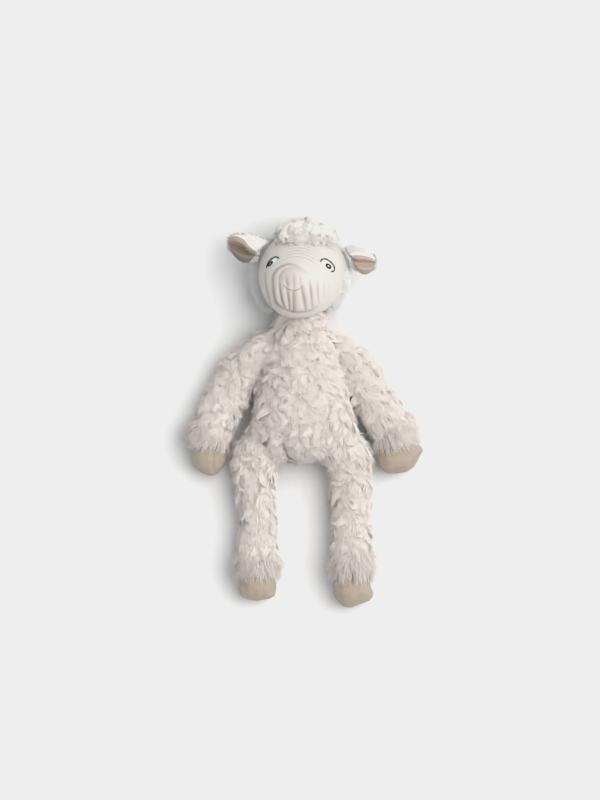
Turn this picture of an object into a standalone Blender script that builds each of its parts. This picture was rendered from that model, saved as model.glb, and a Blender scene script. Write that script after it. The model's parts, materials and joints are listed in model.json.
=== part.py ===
"""A plush sheep that lies on its back, face up, with its arms and legs a little apart.

The table is the plane z = 0, the head points to +Y and the face looks up. Left and right are the toy's own, so
its left side is at +X. Every cover is a shell of its fabric's thickness, with its stuffing inside. The limbs, the
neck and the hooves start in a ball that turns in a socket where the real seam bends.
"""

import math

import bmesh
import bpy
from mathutils import Matrix, Vector
from mathutils.bvhtree import BVHTree

MM = 0.001
UP = Vector((0, 0, 1))
ACROSS = Vector((1, 0, 0))
TO_FEET = Vector((0, -1, 0))

# Fabrics and the room between pieces
FUR = 6 * MM
HEAD_FABRIC = 3.5 * MM
SUEDE = 1.6 * MM
EAR_PLUSH = 3.5 * MM
EAR_VELVET = 1.8 * MM
GAP = 0.35 * MM
STUFFING_SLACK = 0.6 * MM
SWING_GAP = 0.5 * MM
TABLE_CUT = 0.5 * MM
OVERRUN = 300 * MM

# Torso, from the neck to the crotch
BODY_TOP = 86 * MM
BODY_LENGTH = 130 * MM
BODY_HALF_WIDTH = 47.5 * MM
BODY_HALF_DEPTH = 33 * MM
BODY_NECK_CAP = 12 * MM
BODY_CROTCH_CAP = 28 * MM
BODY_WIDTH_SHARES = ((0, 0.58), (0.22, 0.66), (0.46, 0.8), (0.63, 0.9), (0.77, 1), (1, 1))
BODY_DEPTH_SHARES = ((0, 0.66), (0.22, 0.79), (0.46, 0.94), (0.63, 1), (0.77, 0.97), (1, 0.86))
BODY_BACK_SHARES = ((0, 0.36), (0.22, 0.1), (0.46, 0), (0.63, 0), (0.77, 0), (1, 0.06))
SIDE_SEAM_HEIGHT = 29 * MM

# Neck, a short stuffed ball between the torso and the head
NECK_ACROSS = -1 * MM
NECK_RISE = 1 * MM
NECK_HEIGHT = 36.5 * MM
NECK_RADIUS = 22 * MM
NECK_MOUTH_SHARE = 0.6

# Head, whose centre is this far beyond the neck
HEAD_RISE = 37.5 * MM
HEAD_HALF_WIDTH = 40.5 * MM
HEAD_HALF_LENGTH = 39 * MM
HEAD_HALF_DEPTH = 38.5 * MM
SNOUT_REACH = 14 * MM
SNOUT_AIM_SHARES = (-0.18, -0.42, 1)
SNOUT_SPREAD = math.radians(38)
SNOUT_BLUNTNESS = 7
JAW_REACH = 6 * MM
JAW_AIM_SHARES = (-0.12, -1, 0.6)
JAW_SPREAD = math.radians(52)
JAW_BLUNTNESS = 4
FACE_SEAM_HEIGHT = 36 * MM
FACE_SEAM_TILT = math.radians(8)
MUZZLE_SEAM_DROP = 7.5 * MM
MUZZLE_SEAM_TILT = math.radians(-17)

# Curly tuft on the crown, this far beyond the head's centre
TUFT_ACROSS = 3 * MM
TUFT_RISE = 30.5 * MM
TUFT_HEIGHT = 47 * MM
TUFT_HALF_WIDTH = 30 * MM
TUFT_HALF_LENGTH = 20 * MM
TUFT_HALF_DEPTH = 25 * MM

# Ears, each a cupped leaf sewn to the side of the head, this far beyond its centre
EAR_LENGTH = 34 * MM
EAR_HALF_WIDTH = 15.5 * MM
EAR_PINCH_SHARE = 0.35
EAR_EDGE_POWER = 0.6
EAR_HEM = 2.5 * MM
EAR_CUP = 4 * MM
LEFT_EAR_STANDOFF = 1.6 * MM
RIGHT_EAR_STANDOFF = 1.1 * MM
EAR_HEIGHT = 46 * MM
LEFT_EAR_ALONG = 13.5 * MM
RIGHT_EAR_ALONG = 20.5 * MM
LEFT_EAR_AIM = math.radians(-6)
RIGHT_EAR_AIM = math.radians(164)
EAR_RISE = math.radians(8)
EAR_LEAN = math.radians(28)

# Stitched face: its thread, and its places from above as shares of the head's half width and half length
THREAD = 1.3 * MM
STITCH_LIFT = 0.7 * MM
EYE_HALF_LENGTH = 7 * MM
EYE_HALF_HEIGHT = 4.2 * MM
EYE_THICKNESS = 0.7 * MM
EYE_WHITE_SHARE = 0.8
LID_LENGTH_SHARE = 1.1
LID_HEIGHT_SHARE = 1.15
PUPIL_RADIUS = 2.6 * MM
PUPIL_HEIGHT_SHARE = 0.9
LEFT_EYE_PLACE_SHARES = (0.53, 0.22)
LEFT_EYE_TURN = math.radians(-38)
RIGHT_EYE_PLACE_SHARES = (-0.68, 0.255)
RIGHT_EYE_TURN = math.radians(38)
NOSE_PLACE_SHARES = (-0.22, -0.36)
NOSE_HALF_WIDTH = 9.5 * MM
NOSE_CURVE = 4.5 * MM
MOUTH_LENGTH = 17.5 * MM

# Arms, from the shoulder, set in from the torso's side and down from its top, to the wrist
ARM_BALL = 17 * MM
ARM_HALF_WIDTH = 19.5 * MM
ARM_HALF_DEPTH = 18 * MM
SHOULDER_HEIGHT = 24 * MM
WRIST_HEIGHT = 21.5 * MM
LEFT_SHOULDER_INSET = 8.5 * MM
LEFT_SHOULDER_DROP = 29 * MM
LEFT_ARM_SPREAD = 45.5 * MM
LEFT_ARM_DROP = 83 * MM
LEFT_ARM_BOW = 0.5 * MM
RIGHT_SHOULDER_INSET = 6.5 * MM
RIGHT_SHOULDER_DROP = 28 * MM
RIGHT_ARM_SPREAD = 43.5 * MM
RIGHT_ARM_DROP = 84 * MM
RIGHT_ARM_BOW = 4 * MM

# Legs, from the hip, set in from the torso's side and up from the crotch, to the ankle
LEG_BALL = 19 * MM
LEG_HALF_WIDTH = 19 * MM
LEG_HALF_DEPTH = 18 * MM
HIP_HEIGHT = 22 * MM
ANKLE_HEIGHT = 22 * MM
HIP_RISE = 5 * MM
LEG_DROP = 103 * MM
LEFT_HIP_INSET = 5.5 * MM
LEFT_LEG_SPREAD = 2 * MM
RIGHT_HIP_INSET = 2.5 * MM
RIGHT_LEG_SPREAD = -4.5 * MM
LEG_BOW = 0.5 * MM

# Shares along a limb, from its root to its open end, of its half width and half depth
LIMB_WIDTH_SHARES = ((0.14, 0.9), (0.35, 0.96), (0.6, 1), (0.85, 0.93), (1, 0.9))
LIMB_DEPTH_SHARES = ((0.14, 0.96), (0.35, 0.98), (0.6, 1), (0.85, 0.95), (1, 0.93))
LIMB_END_CAP = 7 * MM
LIMB_END_REACH = 3 * MM
LIMB_RESTS_SHARE = 0.5

# Cuffs, bushy rings round each limb's open end
ARM_CUFF_HALF_WIDTH = 22.5 * MM
LEG_CUFF_HALF_WIDTH = 26 * MM
CUFF_LENGTH = 30 * MM
CUFF_REACH = 7 * MM
CUFF_WIDTH_SHARES = ((0, 0.84), (0.3, 0.95), (0.7, 1), (1, 1))

# Hooves
HOOF_BALL = 11.5 * MM
HOOF_HALF_DEPTH = 14 * MM
HOOF_CLEARANCE = 2.5 * MM
HOOF_WIDTH_SHARES = ((0.27, 0.66), (0.5, 0.97), (0.72, 1), (1, 0.9))
HOOF_DEPTH_SHARES = ((0.27, 0.82), (0.5, 0.97), (0.72, 1), (1, 0.9))
HOOF_TIP_CAP = 13 * MM
HOOF_MOUTH = 6 * MM
HAND_REACH = 30 * MM
RIGHT_HAND_HALF_WIDTH = 17.5 * MM
LEFT_HAND_HALF_WIDTH = 19.9 * MM
RIGHT_FOOT_REACH = 28.5 * MM
LEFT_FOOT_REACH = 33 * MM
FOOT_HALF_WIDTH = 18.5 * MM

# How far each seam bends, for the room that its socket leaves
NOD_MOST = math.radians(25)
NECK_TURN_MOST = math.radians(30)
ARM_MOST = math.radians(120)
LEG_MOST = math.radians(90)
HOOF_MOST = math.radians(30)
LIMB_SWEEP_STEPS = 8
END_SWEEP_STEPS = 2

# Faces round and along the soft forms
BODY_SIDES = 20
HEAD_SIDES = 20
HEAD_RINGS = 14
LIMB_SIDES = 12
CUFF_SIDES = 12
HOOF_SIDES = 12
BALL_SIDES = 14
BALL_RINGS = 8
SOCKET_SIDES = 20
SOCKET_RINGS = 12
CAP_RINGS = 3
BODY_RINGS = 6
LIMB_RINGS = 4
CUFF_RINGS = 2
HOOF_RINGS = 2
TUFT_SIDES = 14
TUFT_RINGS = 8
EAR_SIDES = 12
EAR_RINGS = 8
EYE_SIDES = 14
STITCH_POINTS = 11

# The exact solver loses these many-cut panels at some sizes
PANEL_SOLVER = "MANIFOLD"

COLOURS = {
    "cream_fur": ((0.80, 0.74, 0.66), 0.95),
    "white_plush": ((0.86, 0.84, 0.81), 0.95),
    "corduroy": ((0.84, 0.81, 0.76), 0.9),
    "pink_taupe_fur": ((0.66, 0.58, 0.52), 0.95),
    "suede": ((0.52, 0.44, 0.35), 0.9),
    "ear_velvet": ((0.50, 0.41, 0.33), 0.9),
    "black_thread": ((0.02, 0.02, 0.02), 0.7),
    "white_thread": ((0.92, 0.92, 0.92), 0.7),
    "brown_thread": ((0.55, 0.36, 0.26), 0.7),
    "stuffing": ((0.93, 0.93, 0.92), 1.0),
}


def clear_scene():
    for old in list(bpy.data.objects):
        bpy.data.objects.remove(old)


def collection(name):
    made = bpy.data.collections.new(name)
    bpy.context.scene.collection.children.link(made)
    return made


def material(name):
    """The named colour as a Principled material, made once for each object that asks."""
    colour, roughness = COLOURS[name]
    made = bpy.data.materials.new(name)
    made.use_nodes = True
    shader = made.node_tree.nodes["Principled BSDF"]
    shader.inputs["Base Color"].default_value = (*colour, 1)
    shader.inputs["Roughness"].default_value = roughness
    shader.inputs["Metallic"].default_value = 0
    made.diffuse_color = (*colour, 1)
    return made


def on_curve(stations, share):
    """The value at a share of the length, on a smooth curve through (share, value) stations."""
    if share <= stations[0][0]:
        return stations[0][1]
    if share >= stations[-1][0]:
        return stations[-1][1]
    at = max(i for i, station in enumerate(stations) if station[0] <= share)
    (x0, y0), (x1, y1) = stations[at], stations[at + 1]
    before = stations[max(at - 1, 0)]
    after = stations[min(at + 2, len(stations) - 1)]
    slope0 = (y1 - before[1]) / (x1 - before[0])
    slope1 = (after[1] - y0) / (after[0] - x0)
    span = x1 - x0
    t = (share - x0) / span
    return (
        (2 * t**3 - 3 * t**2 + 1) * y0
        + (t**3 - 2 * t**2 + t) * span * slope0
        + (3 * t**2 - 2 * t**3) * y1
        + (t**3 - t**2) * span * slope1
    )


def ring_stops(length, start_cap, end_cap, middle_rings):
    """(distance along, fullness of the section) from pole to pole, closer together on the two caps."""
    turns = [math.pi / 2 * step / CAP_RINGS for step in range(CAP_RINGS + 1)]
    stops = [(start_cap * (1 - math.cos(turn)), math.sin(turn)) for turn in turns]
    straight = length - start_cap - end_cap
    for ring in range(1, middle_rings):
        stops.append((start_cap + straight * ring / middle_rings, 1))
    stops += [(length - end_cap * (1 - math.cos(turn)), math.sin(turn)) for turn in reversed(turns)]
    return stops


def swelled(rings, direction, sides):
    """A UV sphere whose rings are moved to (centre, half width, half depth), from pole to pole."""
    across = direction.cross(UP).normalized()
    bm = bmesh.new()
    steps = len(rings) - 1
    bmesh.ops.create_uvsphere(bm, u_segments=sides, v_segments=steps, radius=1)
    for vertex in bm.verts:
        polar = math.acos(max(-1, min(1, vertex.co.z)))
        centre, half_width, half_depth = rings[round(polar / math.pi * steps)]
        round_share = Vector((vertex.co.x, vertex.co.y))
        if 0 < half_width:
            round_share.normalize()
        vertex.co = centre + across * round_share.x * half_width + UP * round_share.y * half_depth
    return bm


def grown(bm, distance):
    """A copy of a closed form with every vertex moved out along its normal, or in if negative."""
    copy = bm.copy()
    copy.normal_update()
    moved = [vertex.co + vertex.normal * distance for vertex in copy.verts]
    for vertex, place in zip(copy.verts, moved):
        vertex.co = place
    return copy


def ball(centre, radius, sides=BALL_SIDES, rings=BALL_RINGS):
    bm = bmesh.new()
    bmesh.ops.create_uvsphere(
        bm, u_segments=sides, v_segments=rings, radius=radius, matrix=Matrix.Translation(centre)
    )
    return bm


def wrapped(forms):
    """The closed skin stretched round several forms, which it uses up."""
    bm = bmesh.new()
    for form in forms:
        for vertex in form.verts:
            bm.verts.new(vertex.co)
        form.free()
    hull = bmesh.ops.convex_hull(bm, input=bm.verts)
    inside = {item for item in hull["geom_interior"] if isinstance(item, bmesh.types.BMVert)}
    bmesh.ops.delete(bm, geom=list(inside), context="VERTS")
    loose = [edge for edge in bm.edges if not edge.link_faces]
    bmesh.ops.delete(bm, geom=loose, context="EDGES")
    bmesh.ops.recalc_face_normals(bm, faces=bm.faces)
    return bm


def clear_ball(centre, radius, sides=BALL_SIDES, rings=BALL_RINGS):
    """A faceted ball that has all of the round ball inside it."""
    flattest = math.cos(math.pi / sides) * math.cos(math.pi / rings / 2)
    return ball(centre, radius / flattest, sides, rings)


def neck_ball_socket():
    return clear_ball(neck_place(), NECK_RADIUS + SWING_GAP, SOCKET_SIDES, SOCKET_RINGS)


def half_space(point, direction):
    """A block whose one face passes through the point and which fills the side that direction looks to."""
    bm = bmesh.new()
    turn = direction.to_track_quat("Z", "Y").to_matrix().to_4x4()
    middle = point + direction.normalized() * OVERRUN
    bmesh.ops.create_cube(bm, size=2 * OVERRUN, matrix=Matrix.Translation(middle) @ turn)
    return bm


def object_from(bm, name, group, colour=None, carrier=None):
    mesh = bpy.data.meshes.new(name)
    bm.to_mesh(mesh)
    bm.free()
    made = bpy.data.objects.new(name, mesh)
    group.objects.link(made)
    if colour:
        mesh.materials.append(material(colour))
        mesh.shade_smooth()
    if carrier:
        hang_on(made, carrier)
    return made


def hang_on(child, carrier):
    child.parent = carrier
    child.matrix_parent_inverse = carrier.matrix_world.inverted()


def pivot(name, place, group, carrier=None):
    """An empty on a seam's bending axis, which carries the pieces that bend there."""
    made = bpy.data.objects.new(name, None)
    made.empty_display_size = HOOF_BALL
    group.objects.link(made)
    made.location = place
    bpy.context.view_layer.update()
    if carrier:
        hang_on(made, carrier)
        bpy.context.view_layer.update()
    return made


class Workshop:
    """The two collections, the origin that carries all, and the table that flattens what rests on it."""

    def __init__(self):
        self.parts = collection("plush_sheep")
        self.cutters = collection("cutters")
        self.root = pivot("plush_sheep_origin", Vector((0, 0, 0)), self.parts)
        self.table = self.cutter(half_space(Vector((0, 0, 0)), -UP), "table")

    def cutter(self, bm, name):
        made = object_from(bm, name + "_cutter", self.cutters, carrier=self.root)
        made.hide_render = True
        made.display_type = "WIRE"
        return made

    def piece(self, bm, name, colour, carrier, cutters=(), solver="EXACT"):
        made = object_from(bm, name, self.parts, colour, carrier)
        for tool in cutters:
            cut = made.modifiers.new("cut_" + tool.name, "BOOLEAN")
            cut.operation = "DIFFERENCE"
            cut.solver = solver
            cut.object = tool


def body_form():
    def rings():
        for along, full in ring_stops(BODY_LENGTH, BODY_NECK_CAP, BODY_CROTCH_CAP, BODY_RINGS):
            share = along / BODY_LENGTH
            half_depth = BODY_HALF_DEPTH * on_curve(BODY_DEPTH_SHARES, share)
            back = BODY_HALF_DEPTH * on_curve(BODY_BACK_SHARES, share)
            centre = TO_FEET * (along - BODY_TOP) + UP * (back + half_depth - TABLE_CUT)
            half_width = BODY_HALF_WIDTH * on_curve(BODY_WIDTH_SHARES, share)
            yield centre, half_width * full, half_depth * full

    return swelled(list(rings()), TO_FEET, BODY_SIDES)


def neck_place():
    return Vector((NECK_ACROSS, BODY_TOP + NECK_RISE, NECK_HEIGHT))


def head_centre():
    return Vector((0, neck_place().y + HEAD_RISE, HEAD_HALF_DEPTH - TABLE_CUT))


def head_form():
    """A round skull pushed out at the snout and the jaw, with the sphere's pole at the snout's tip."""
    aim = Vector(SNOUT_AIM_SHARES).normalized()
    jaw = Vector(JAW_AIM_SHARES).normalized()
    turn = aim.to_track_quat("Z", "Y").to_matrix()
    bm = bmesh.new()
    bmesh.ops.create_uvsphere(bm, u_segments=HEAD_SIDES, v_segments=HEAD_RINGS, radius=1)
    for vertex in bm.verts:
        looks = turn @ vertex.co
        snout_push = SNOUT_REACH / (1 + (looks.angle(aim) / SNOUT_SPREAD) ** SNOUT_BLUNTNESS)
        jaw_push = JAW_REACH / (1 + (looks.angle(jaw) / JAW_SPREAD) ** JAW_BLUNTNESS)
        skull = Vector(
            (looks.x * HEAD_HALF_WIDTH, looks.y * HEAD_HALF_LENGTH, looks.z * HEAD_HALF_DEPTH)
        )
        vertex.co = head_centre() + skull + aim * snout_push + jaw * jaw_push
    return bm


class Limb:
    """A sleeve from its ball in the torso to its open end, a cuff round that end and a hoof in it."""

    def __init__(self, name, end_name, root, end, kind, bow, hoof_reach, hoof_half_width):
        self.name = name
        self.end_name = end_name
        self.root = root
        self.end = end
        self.ball_radius, self.half_width, self.half_depth, self.cuff_half_width, self.most = kind
        self.bow = bow
        self.hoof_reach = hoof_reach
        self.hoof_half_width = hoof_half_width
        level = Vector((end.x - root.x, end.y - root.y, 0))
        self.reach = level.length
        self.direction = level.normalized()
        self.across = self.direction.cross(UP)

    def form(self):
        length = self.ball_radius + self.reach + LIMB_END_REACH
        widths = [(share, value * self.half_width) for share, value in LIMB_WIDTH_SHARES]
        depths = [(share, value * self.half_depth) for share, value in LIMB_DEPTH_SHARES]
        ball_share = self.ball_radius / length
        widths = [(ball_share, self.ball_radius)] + widths[1:]
        depths = [(ball_share, self.ball_radius)] + depths[1:]
        rests_at = self.half_depth - TABLE_CUT
        heights = [(ball_share, self.root.z), (LIMB_RESTS_SHARE, rests_at), (1, self.end.z)]
        outward = self.across * (1 if self.across.x * self.root.x > 0 else -1)
        rings = []
        for along, full in ring_stops(length, self.ball_radius, LIMB_END_CAP, LIMB_RINGS):
            share = along / length
            from_ball = max(along / length - ball_share, 0) / (1 - ball_share)
            sideways = outward * self.bow * math.sin(math.pi * from_ball)
            level = Vector((self.root.x, self.root.y, 0)) + self.direction * (along - self.ball_radius)
            centre = level + sideways + UP * on_curve(heights, share)
            rings.append((centre, on_curve(widths, share) * full, on_curve(depths, share) * full))
        return swelled(rings, self.direction, LIMB_SIDES)

    def cuff_form(self):
        half_depth = self.end.z + TABLE_CUT
        rings = []
        for along, full in ring_stops(CUFF_LENGTH, LIMB_END_CAP, LIMB_END_CAP, CUFF_RINGS):
            back = self.direction * (along - CUFF_LENGTH + CUFF_REACH)
            wide = self.cuff_half_width * on_curve(CUFF_WIDTH_SHARES, along / CUFF_LENGTH)
            rings.append((self.end + back, wide * full, half_depth * full))
        return swelled(rings, self.direction, CUFF_SIDES)

    def hoof_centre_height(self, share):
        low = HOOF_HALF_DEPTH + HOOF_CLEARANCE
        ball_share = HOOF_WIDTH_SHARES[0][0]
        return on_curve(((ball_share, self.end.z), (1, low)), share)

    def hoof_form(self):
        length = HOOF_BALL + self.hoof_reach
        ball_share = HOOF_BALL / length
        widths = [(share, value * self.hoof_half_width) for share, value in HOOF_WIDTH_SHARES]
        depths = [(share, value * HOOF_HALF_DEPTH) for share, value in HOOF_DEPTH_SHARES]
        widths = [(ball_share, HOOF_BALL)] + widths[1:]
        depths = [(ball_share, HOOF_BALL)] + depths[1:]
        rings = []
        for along, full in ring_stops(length, HOOF_BALL, HOOF_TIP_CAP, HOOF_RINGS):
            share = along / length
            level = Vector((self.end.x, self.end.y, 0)) + TO_FEET * (along - HOOF_BALL)
            centre = level + UP * self.hoof_centre_height(share)
            rings.append((centre, on_curve(widths, share) * full, on_curve(depths, share) * full))
        return swelled(rings, TO_FEET, HOOF_SIDES)

    def root_sweep(self):
        """What wraps all that the limb's upper half passes through as it swings up from the table."""
        forms = [clear_ball(self.root, self.ball_radius + SWING_GAP)]
        to_root = Matrix.Translation(self.root)
        for step in range(LIMB_SWEEP_STEPS + 1):
            upper = grown(self.form(), SWING_GAP)
            lower = [v for v in upper.verts if self.direction.dot(v.co - self.root) > self.reach / 2]
            bmesh.ops.delete(upper, geom=lower, context="VERTS")
            turn = Matrix.Rotation(-self.most * step / LIMB_SWEEP_STEPS, 4, ACROSS)
            bmesh.ops.transform(upper, matrix=to_root @ turn @ to_root.inverted(), verts=upper.verts)
            forms.append(upper)
        return wrapped(forms)

    def hoof_sweep(self):
        """What wraps all that the hoof passes through as its seam bends up."""
        balls = [clear_ball(self.end, HOOF_BALL + SWING_GAP)]
        swells_at = (HOOF_BALL + self.hoof_reach) * HOOF_WIDTH_SHARES[1][0] - HOOF_BALL
        spread = ACROSS * (self.hoof_half_width - HOOF_HALF_DEPTH)
        for step in range(END_SWEEP_STEPS + 1):
            turn = Matrix.Rotation(-HOOF_MOST * step / END_SWEEP_STEPS, 3, ACROSS)
            for distance in (swells_at, self.hoof_reach / 2):
                middle = self.end + turn @ (TO_FEET * distance)
                for edge in (middle - spread, middle + spread):
                    balls.append(clear_ball(edge, HOOF_HALF_DEPTH + SWING_GAP))
        return wrapped(balls)


def build_torso(shop, limbs, neck_cuts):
    form = body_form()
    cavity = shop.cutter(grown(form, -FUR), "body_cavity")
    cuts = [shop.cutter(limb.root_sweep(), limb.name + "_swing") for limb in limbs] + neck_cuts
    seam = Vector((0, 0, SIDE_SEAM_HEIGHT))
    below = shop.cutter(half_space(seam + UP * GAP / 2, -UP), "below_side_seam")
    above = shop.cutter(half_space(seam - UP * GAP / 2, UP), "above_side_seam")
    for name, seams in (("body_front_panel", [below]), ("body_back_panel", [above, shop.table])):
        shop.piece(form.copy(), name, "cream_fur", shop.root, [cavity] + seams + cuts, PANEL_SOLVER)
    filling = grown(form, -FUR - STUFFING_SLACK)
    shop.piece(filling, "body_stuffing", "stuffing", shop.root, cuts, PANEL_SOLVER)
    form.free()


def build_limb(shop, limb):
    hoof_name = limb.end_name + "_hoof"
    root = pivot(limb.name + "_root", limb.root, shop.parts, shop.root)
    end = pivot(hoof_name + "_root", limb.end, shop.parts, root)
    form = limb.form()
    cavity = shop.cutter(grown(form, -FUR), limb.name + "_cavity")
    sweep = shop.cutter(limb.hoof_sweep(), hoof_name + "_sweep")
    bore = shop.cutter(grown(form, GAP), limb.name + "_cuff_bore")
    shop.piece(form.copy(), limb.name + "_sleeve", "cream_fur", root, [cavity, sweep, shop.table])
    shop.piece(grown(form, -FUR - STUFFING_SLACK), limb.name + "_stuffing", "stuffing", root, [sweep])
    shop.piece(limb.cuff_form(), limb.name + "_cuff", "pink_taupe_fur", root, [bore, sweep, shop.table])
    form.free()
    hoof = limb.hoof_form()
    hollow = shop.cutter(grown(hoof, -SUEDE), hoof_name + "_cavity")
    mouth = shop.cutter(half_space(limb.end - TO_FEET * HOOF_MOUTH, -TO_FEET), hoof_name + "_mouth")
    shop.piece(hoof.copy(), hoof_name + "_cover", "suede", end, [hollow, mouth])
    shop.piece(grown(hoof, -SUEDE - STUFFING_SLACK), hoof_name + "_stuffing", "stuffing", end, [mouth])
    hoof.free()


def surface_point(head, across, along, lift):
    """The place on the face under a point seen from above, lifted off the fabric along its normal."""
    place, normal, _, _ = head.ray_cast(Vector((across, along, OVERRUN)), -UP)
    return place + normal * lift


def stitched_line(shop, head, points, name, colour, carrier):
    """A thread along points on the face, as a round tube that lies on the fabric."""
    data = bpy.data.curves.new(name, "CURVE")
    data.dimensions = "3D"
    data.bevel_depth = THREAD / 2
    data.bevel_resolution = 1
    data.use_fill_caps = True
    line = data.splines.new("POLY")
    line.points.add(len(points) - 1)
    for point, (across, along) in zip(line.points, points):
        point.co = (*surface_point(head, across, along, THREAD / 2 + STITCH_LIFT), 1)
    made = bpy.data.objects.new(name, data)
    shop.parts.objects.link(made)
    data.materials.append(material(colour))
    hang_on(made, carrier)


def face_place(shares):
    """How far across and along a place on the face is, seen from above."""
    return HEAD_HALF_WIDTH * shares[0], head_centre().y + HEAD_HALF_LENGTH * shares[1]


class Eye:
    """Where an eye's oval lies on the face, seen from above."""

    def __init__(self, side, shares, turn):
        self.side = side
        self.across, self.along = face_place(shares)
        self.turn = turn

    def spot(self, long_way, short_way):
        across = self.across + long_way * math.cos(self.turn) - short_way * math.sin(self.turn)
        along = self.along + long_way * math.sin(self.turn) + short_way * math.cos(self.turn)
        return across, along

    def patch(self, face, half_length, half_height, lift):
        """An oval patch of satin stitches that follows the face below it."""
        bm = bmesh.new()
        bmesh.ops.create_cone(
            bm, cap_ends=True, cap_tris=True, segments=EYE_SIDES, radius1=1, radius2=1, depth=2
        )
        for vertex in bm.verts:
            across, along = self.spot(vertex.co.x * half_length, vertex.co.y * half_height)
            thickness = EYE_THICKNESS if vertex.co.z > 0 else 0
            vertex.co = surface_point(face, across, along, lift + thickness)
        bmesh.ops.recalc_face_normals(bm, faces=bm.faces)
        return bm

    def lid(self):
        points = []
        for step in range(STITCH_POINTS):
            angle = math.pi * step / (STITCH_POINTS - 1)
            long_way = EYE_HALF_LENGTH * LID_LENGTH_SHARE * math.cos(angle)
            short_way = EYE_HALF_HEIGHT * LID_HEIGHT_SHARE * math.sin(angle)
            points.append(self.spot(long_way, short_way))
        return points


def build_eye(shop, face, eye, carrier):
    """White, pupil and the dark lid line over them, tilted towards the side of the head."""
    white_length = EYE_HALF_LENGTH * EYE_WHITE_SHARE
    white_height = EYE_HALF_HEIGHT * EYE_WHITE_SHARE
    white = eye.patch(face, white_length, white_height, STITCH_LIFT)
    shop.piece(white, eye.side + "_eye_white", "white_thread", carrier)
    lift = STITCH_LIFT + EYE_THICKNESS + GAP
    pupil = eye.patch(face, PUPIL_RADIUS, PUPIL_RADIUS * PUPIL_HEIGHT_SHARE, lift)
    shop.piece(pupil, eye.side + "_eye_pupil", "black_thread", carrier)
    stitched_line(shop, face, eye.lid(), eye.side + "_eye_lid", "black_thread", carrier)


class Ear:
    """The directions and the outline of one cupped ear, which rises off its seam and leans forward."""

    def __init__(self, root, aim):
        level_aim = Vector((math.cos(aim), math.sin(aim), 0))
        self.root = root
        self.out = level_aim * math.cos(EAR_RISE) + UP * math.sin(EAR_RISE)
        forward = EAR_LEAN if self.out.x > 0 else -EAR_LEAN
        lean = Matrix.Rotation(forward, 3, self.out)
        self.level = lean @ UP.cross(self.out).normalized()
        self.face = self.out.cross(self.level)

    def leaf(self, thickness, hem, rise):
        bm = bmesh.new()
        bmesh.ops.create_uvsphere(bm, u_segments=EAR_SIDES, v_segments=EAR_RINGS, radius=1)
        for vertex in bm.verts:
            lengthwise = (EAR_LENGTH / 2 - hem) * vertex.co.y
            pinch = 1 - EAR_PINCH_SHARE * vertex.co.y**2
            widthwise = (EAR_HALF_WIDTH - hem) * vertex.co.x * pinch
            swell = math.copysign(abs(vertex.co.z) ** EAR_EDGE_POWER, vertex.co.z)
            cup = EAR_CUP * ((widthwise / EAR_HALF_WIDTH) ** 2 + (lengthwise / EAR_LENGTH) ** 2)
            flat = self.root + self.out * (EAR_LENGTH / 2 + lengthwise) - self.level * widthwise
            vertex.co = flat + self.face * (cup + rise + swell * thickness / 2)
        return bm


def build_ear(shop, side, ear, carrier):
    """A cupped leaf of plush with a smaller leaf of velvet on its inner face."""
    root = pivot(side + "_ear_root", ear.root, shop.parts, carrier)
    shop.piece(ear.leaf(EAR_PLUSH, 0, 0), side + "_ear_outer", "white_plush", root)
    on_top = EAR_PLUSH / 2 + GAP + EAR_VELVET / 2
    shop.piece(ear.leaf(EAR_VELVET, EAR_HEM, on_top), side + "_ear_lining", "ear_velvet", root)


def build_neck(shop, carrier):
    form = ball(neck_place(), NECK_RADIUS)
    hollow = shop.cutter(grown(form, -FUR), "neck_cavity")
    above_mouth = neck_place() - TO_FEET * NECK_RADIUS * NECK_MOUTH_SHARE
    mouth = shop.cutter(half_space(above_mouth, -TO_FEET), "neck_mouth")
    shop.piece(form.copy(), "neck_cover", "cream_fur", carrier, [hollow, mouth])
    shop.piece(grown(form, -FUR - STUFFING_SLACK), "neck_stuffing", "stuffing", carrier, [mouth])
    form.free()


def build_head_panels(shop, form, socket, carrier):
    """Forehead and muzzle meet at the seam over the nose, and the back panel meets both at the sides."""
    cavity = shop.cutter(grown(form, -HEAD_FABRIC), "head_cavity")
    face_up = Vector((0, -math.sin(FACE_SEAM_TILT), math.cos(FACE_SEAM_TILT)))
    seam = Vector((0, head_centre().y, FACE_SEAM_HEIGHT))
    behind = shop.cutter(half_space(seam + face_up * GAP / 2, -face_up), "behind_face_seam")
    before = shop.cutter(half_space(seam - face_up * GAP / 2, face_up), "before_face_seam")
    to_crown = Vector((0, math.cos(MUZZLE_SEAM_TILT), math.sin(MUZZLE_SEAM_TILT)))
    arch = Vector((0, head_centre().y - MUZZLE_SEAM_DROP, HEAD_HALF_DEPTH))
    crown_side = shop.cutter(half_space(arch - to_crown * GAP / 2, to_crown), "crown_side")
    chin_side = shop.cutter(half_space(arch + to_crown * GAP / 2, -to_crown), "chin_side")
    for name, fabric, seams in (
        ("forehead_panel", "corduroy", [behind, chin_side]),
        ("muzzle_panel", "corduroy", [behind, crown_side]),
        ("head_back_panel", "white_plush", [before, shop.table]),
    ):
        shop.piece(form.copy(), name, fabric, carrier, [cavity, socket] + seams, PANEL_SOLVER)
    shop.piece(grown(form, -HEAD_FABRIC - STUFFING_SLACK), "head_stuffing", "stuffing", carrier, [socket])


def build_tuft(shop, form, carrier):
    seat = shop.cutter(grown(form, GAP), "tuft_seat")
    tuft = ball(Vector((0, 0, 0)), 1, TUFT_SIDES, TUFT_RINGS)
    middle = Vector((TUFT_ACROSS, head_centre().y + TUFT_RISE, TUFT_HEIGHT))
    sizes = Matrix.Diagonal((TUFT_HALF_WIDTH, TUFT_HALF_LENGTH, TUFT_HALF_DEPTH))
    for vertex in tuft.verts:
        vertex.co = middle + sizes @ vertex.co
    shop.piece(tuft, "crown_tuft", "cream_fur", carrier, [seat])


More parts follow.
